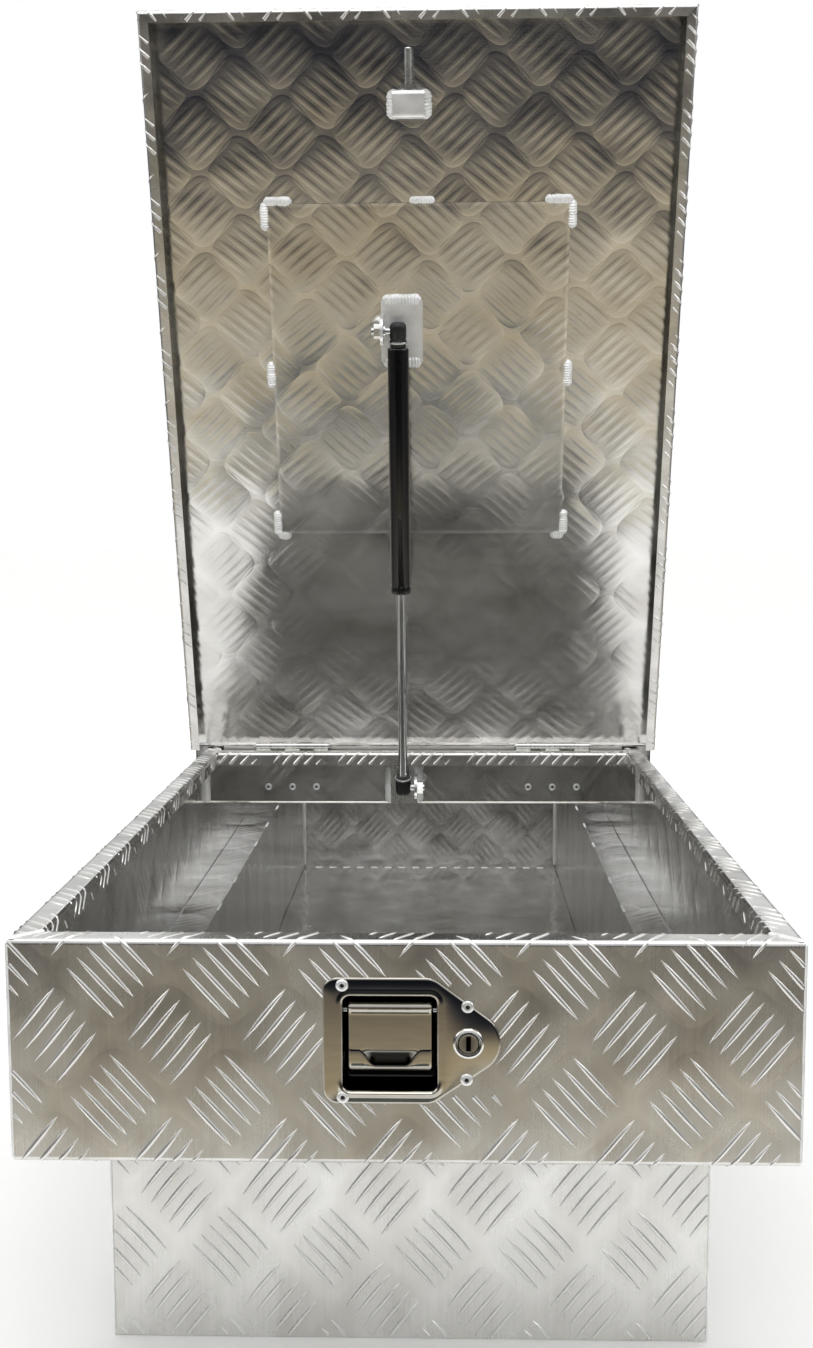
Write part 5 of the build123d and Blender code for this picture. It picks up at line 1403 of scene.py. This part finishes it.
class TOOLBOX_OT_studio(bpy.types.Operator):
    """Sets the pale floor, the soft lights, the surroundings and the camera"""
    bl_idname = "toolbox.studio"
    bl_label = "Studio"

    def execute(self, context):
        studio = context.scene.tool_box_studio
        self.floor(studio)
        self.surroundings(context)
        self.lights(studio)
        self.camera(context, studio)
        context.scene.view_settings.view_transform = "Standard"
        return {"FINISHED"}

    def floor(self, studio):
        """A pale floor that glows more the farther it is from the box. Only the part near the
        box shows in its reflections."""
        material, tree, shader = begin("pale_studio_paper")
        where = add(tree, "TexCoord", out="Object")
        noise = add(tree, "TexNoise", {"Vector": where, "Scale": 3.0})
        colour = (*studio.floor_colour, 1.0)
        tint = add(tree, "Mix", {"Factor": noise, 6: colour, 7: tone("#fbfbfa")}, out=2,
                   data_type="RGBA")
        tree.links.new(tint, shader.inputs["Base Color"])
        shader.inputs["Roughness"].default_value = 0.9
        away = add(tree, "VectorMath", {0: where}, operation="LENGTH", out=1)
        glow = add(tree, "MapRange", {0: away, 1: 0.4, 2: 2.5, 3: 0.03, 4: 0.16})
        tree.links.new(glow, shader.inputs["Emission Strength"])
        shader.inputs["Emission Color"].default_value = (1.0, 1.0, 1.0, 1.0)
        shader.inputs["Specular IOR Level"].default_value = 0.0
        near = (HALF_W * MM + 0.42, HALF_L * MM + 0.34)
        floor_patch("floor_near", None, near, -0.0005, material)
        outer = floor_patch("floor_outer", near, (30.0, 30.0), -0.0005, material)
        outer.visible_glossy = False

    def surroundings(self, context):
        """The room: white to the camera. In reflections the front is dark over the horizon and
        tan below it, the rear and both sides are grey about it, and overhead is pale."""
        world = bpy.data.worlds.new("studio_surroundings")
        world.use_nodes = True
        tree = world.node_tree
        tree.nodes.clear()
        way = add(tree, "TexCoord", out="Generated")
        east, north, up = add(tree, "SeparateXYZ", {0: way}).node.outputs
        rise = add(tree, "MapRange", {0: up, 1: -1.0, 2: 1.0})
        front = paint_ramp(tree, rise, [
            (0.0, "#f6f5f2"), (0.213, "#f4f2ec"), (0.262, "#e6e1d4"), (0.290, "#cfc4ab"),
            (0.314, "#c0b398"), (0.333, "#91887a"), (0.348, "#635f59"), (0.360, "#43444a"),
            (0.374, "#2b2d35"), (0.392, "#1b1e27"), (0.43, "#1b1d22"), (0.50, "#34373c"),
            (0.55, "#66696d"), (0.63, "#cbccce"), (1.0, "#ffffff")])
        # Something dark stands in front below the camera and shows in the open lid.
        left = add(tree, "MapRange", {0: east, 1: -0.165, 2: -0.115})
        right = add(tree, "MapRange", {0: east, 1: 0.095, 2: 0.055})
        below = add(tree, "MapRange", {0: up, 1: -0.425, 2: -0.45})
        stand = add(tree, "Math", {0: left, 1: right}, operation="MULTIPLY")
        stand = add(tree, "Math", {0: stand, 1: below}, operation="MULTIPLY")
        front = add(tree, "Mix", {"Factor": stand, 6: front, 7: tone("#5f6364")},
                    data_type="RGBA", out=2)
        rear = paint_ramp(tree, rise, [
            (0.0, "#d9d9d6"), (0.38, "#a09f9d"), (0.47, "#56585b"), (0.55, "#7c7e82"),
            (0.66, "#eceded"), (1.0, "#ffffff")])
        flank = paint_ramp(tree, rise, [
            (0.0, "#dbdad5"), (0.30, "#bdbab3"), (0.37, "#918e88"), (0.45, "#5a595a"),
            (0.52, "#4d4f52"), (0.60, "#939598"), (0.70, "#eceded"), (1.0, "#ffffff")])
        behind = add(tree, "MapRange", {0: north, 1: -0.25, 2: 0.25})
        colour = add(tree, "Mix", {"Factor": behind, 6: front, 7: rear}, data_type="RGBA", out=2)
        side = add(tree, "Math", {0: east}, operation="ABSOLUTE")
        side = add(tree, "MapRange", {0: side, 1: 0.42, 2: 0.80})
        colour = add(tree, "Mix", {"Factor": side, 6: colour, 7: flank}, data_type="RGBA", out=2)
        seen = add(tree, "LightPath", out="Is Camera Ray")
        reflected = add(tree, "Background", {"Color": colour, "Strength": 1.05})
        plain = add(tree, "Background", {"Color": (1, 1, 1, 1), "Strength": 1.0})
        both = add(tree, "MixShader", {0: seen, 1: reflected, 2: plain})
        add(tree, "OutputWorld", {0: both})
        context.scene.world = world

    def lights(self, studio):
        """One broad light overhead and in front, and weaker ones to each side and behind."""
        places = (("light_overhead", (0.0, -1.2, 3.2), (0.0, -0.2, 0.3), 2.2, 1.0),
                  ("light_left", (-2.6, -0.9, 1.7), (0.0, -0.3, 0.3), 1.2, 0.35),
                  ("light_right", (2.6, -0.9, 1.7), (0.0, -0.3, 0.3), 1.2, 0.35),
                  ("light_behind", (0.0, 2.8, 2.6), (0.0, 0.3, 0.3), 1.8, 0.5))
        for name, place, target, size, share in places:
            lamp = bpy.data.lights.new(name, "AREA")
            lamp.energy = studio.key_power * share
            lamp.size = size
            light = bpy.data.objects.new(name, lamp)
            light.location = place
            way = Vector(target) - Vector(place)
            light.rotation_euler = way.to_track_quat("-Z", "Y").to_euler()
            bpy.context.scene.collection.objects.link(light)

    def camera(self, context, studio):
        """The camera: forward from its pitch and yaw, then rolled about that line."""
        pitch, yaw, roll = (math.radians(a) for a in studio.camera_turn)
        forward = Vector((math.sin(yaw) * math.cos(pitch), math.cos(yaw) * math.cos(pitch),
                          -math.sin(pitch)))
        right = Vector((math.cos(yaw), -math.sin(yaw), 0.0))
        up = right.cross(forward)
        rolled = right * math.cos(roll) + up * math.sin(roll)
        upright = up * math.cos(roll) - right * math.sin(roll)
        turn = Matrix((rolled, upright, -forward)).transposed().to_4x4()
        lens = bpy.data.cameras.new("camera")
        lens.lens = studio.lens
        lens.sensor_width = 36.0
        camera = bpy.data.objects.new("camera", lens)
        camera.matrix_world = Matrix.Translation(Vector(studio.camera_place)) @ turn
        context.scene.collection.objects.link(camera)
        context.scene.camera = camera


# ---- add-on ---------------------------------------------------------------------
class TOOLBOX_PT_panel(bpy.types.Panel):
    """Lists the makers of the tool box's pieces"""
    bl_idname = "TOOLBOX_PT_panel"
    bl_label = "Tread plate tool box"
    bl_space_type = "VIEW_3D"
    bl_region_type = "UI"
    bl_category = "Tool box"

    def draw(self, context):
        for group in (context.scene.tool_box_tread, context.scene.tool_box_welds,
                      context.scene.tool_box_studio):
            for key in group.bl_rna.properties.keys():
                if key not in ("rna_type", "name"):
                    self.layout.prop(group, key)
        for maker in OPERATORS:
            self.layout.operator(maker.bl_idname)


OPERATORS = (TOOLBOX_OT_body, TOOLBOX_OT_lids, TOOLBOX_OT_welds, TOOLBOX_OT_struts,
             TOOLBOX_OT_latches, TOOLBOX_OT_hardware, TOOLBOX_OT_studio)
CLASSES = (ToolBoxTread, ToolBoxWelds, ToolBoxStudio, *OPERATORS, TOOLBOX_PT_panel)


def register():
    for cls in CLASSES:
        bpy.utils.register_class(cls)
    bpy.types.Scene.tool_box_tread = bpy.props.PointerProperty(type=ToolBoxTread)
    bpy.types.Scene.tool_box_welds = bpy.props.PointerProperty(type=ToolBoxWelds)
    bpy.types.Scene.tool_box_studio = bpy.props.PointerProperty(type=ToolBoxStudio)


def unregister():
    del bpy.types.Scene.tool_box_studio
    del bpy.types.Scene.tool_box_welds
    del bpy.types.Scene.tool_box_tread
    for cls in reversed(CLASSES):
        bpy.utils.unregister_class(cls)


def main():
    register()
    make_finishes()
    for maker in (bpy.ops.toolbox.body, bpy.ops.toolbox.lids, bpy.ops.toolbox.welds,
                  bpy.ops.toolbox.struts, bpy.ops.toolbox.latches, bpy.ops.toolbox.hardware,
                  bpy.ops.toolbox.studio):
        maker()


if __name__ == "__main__":
    main()
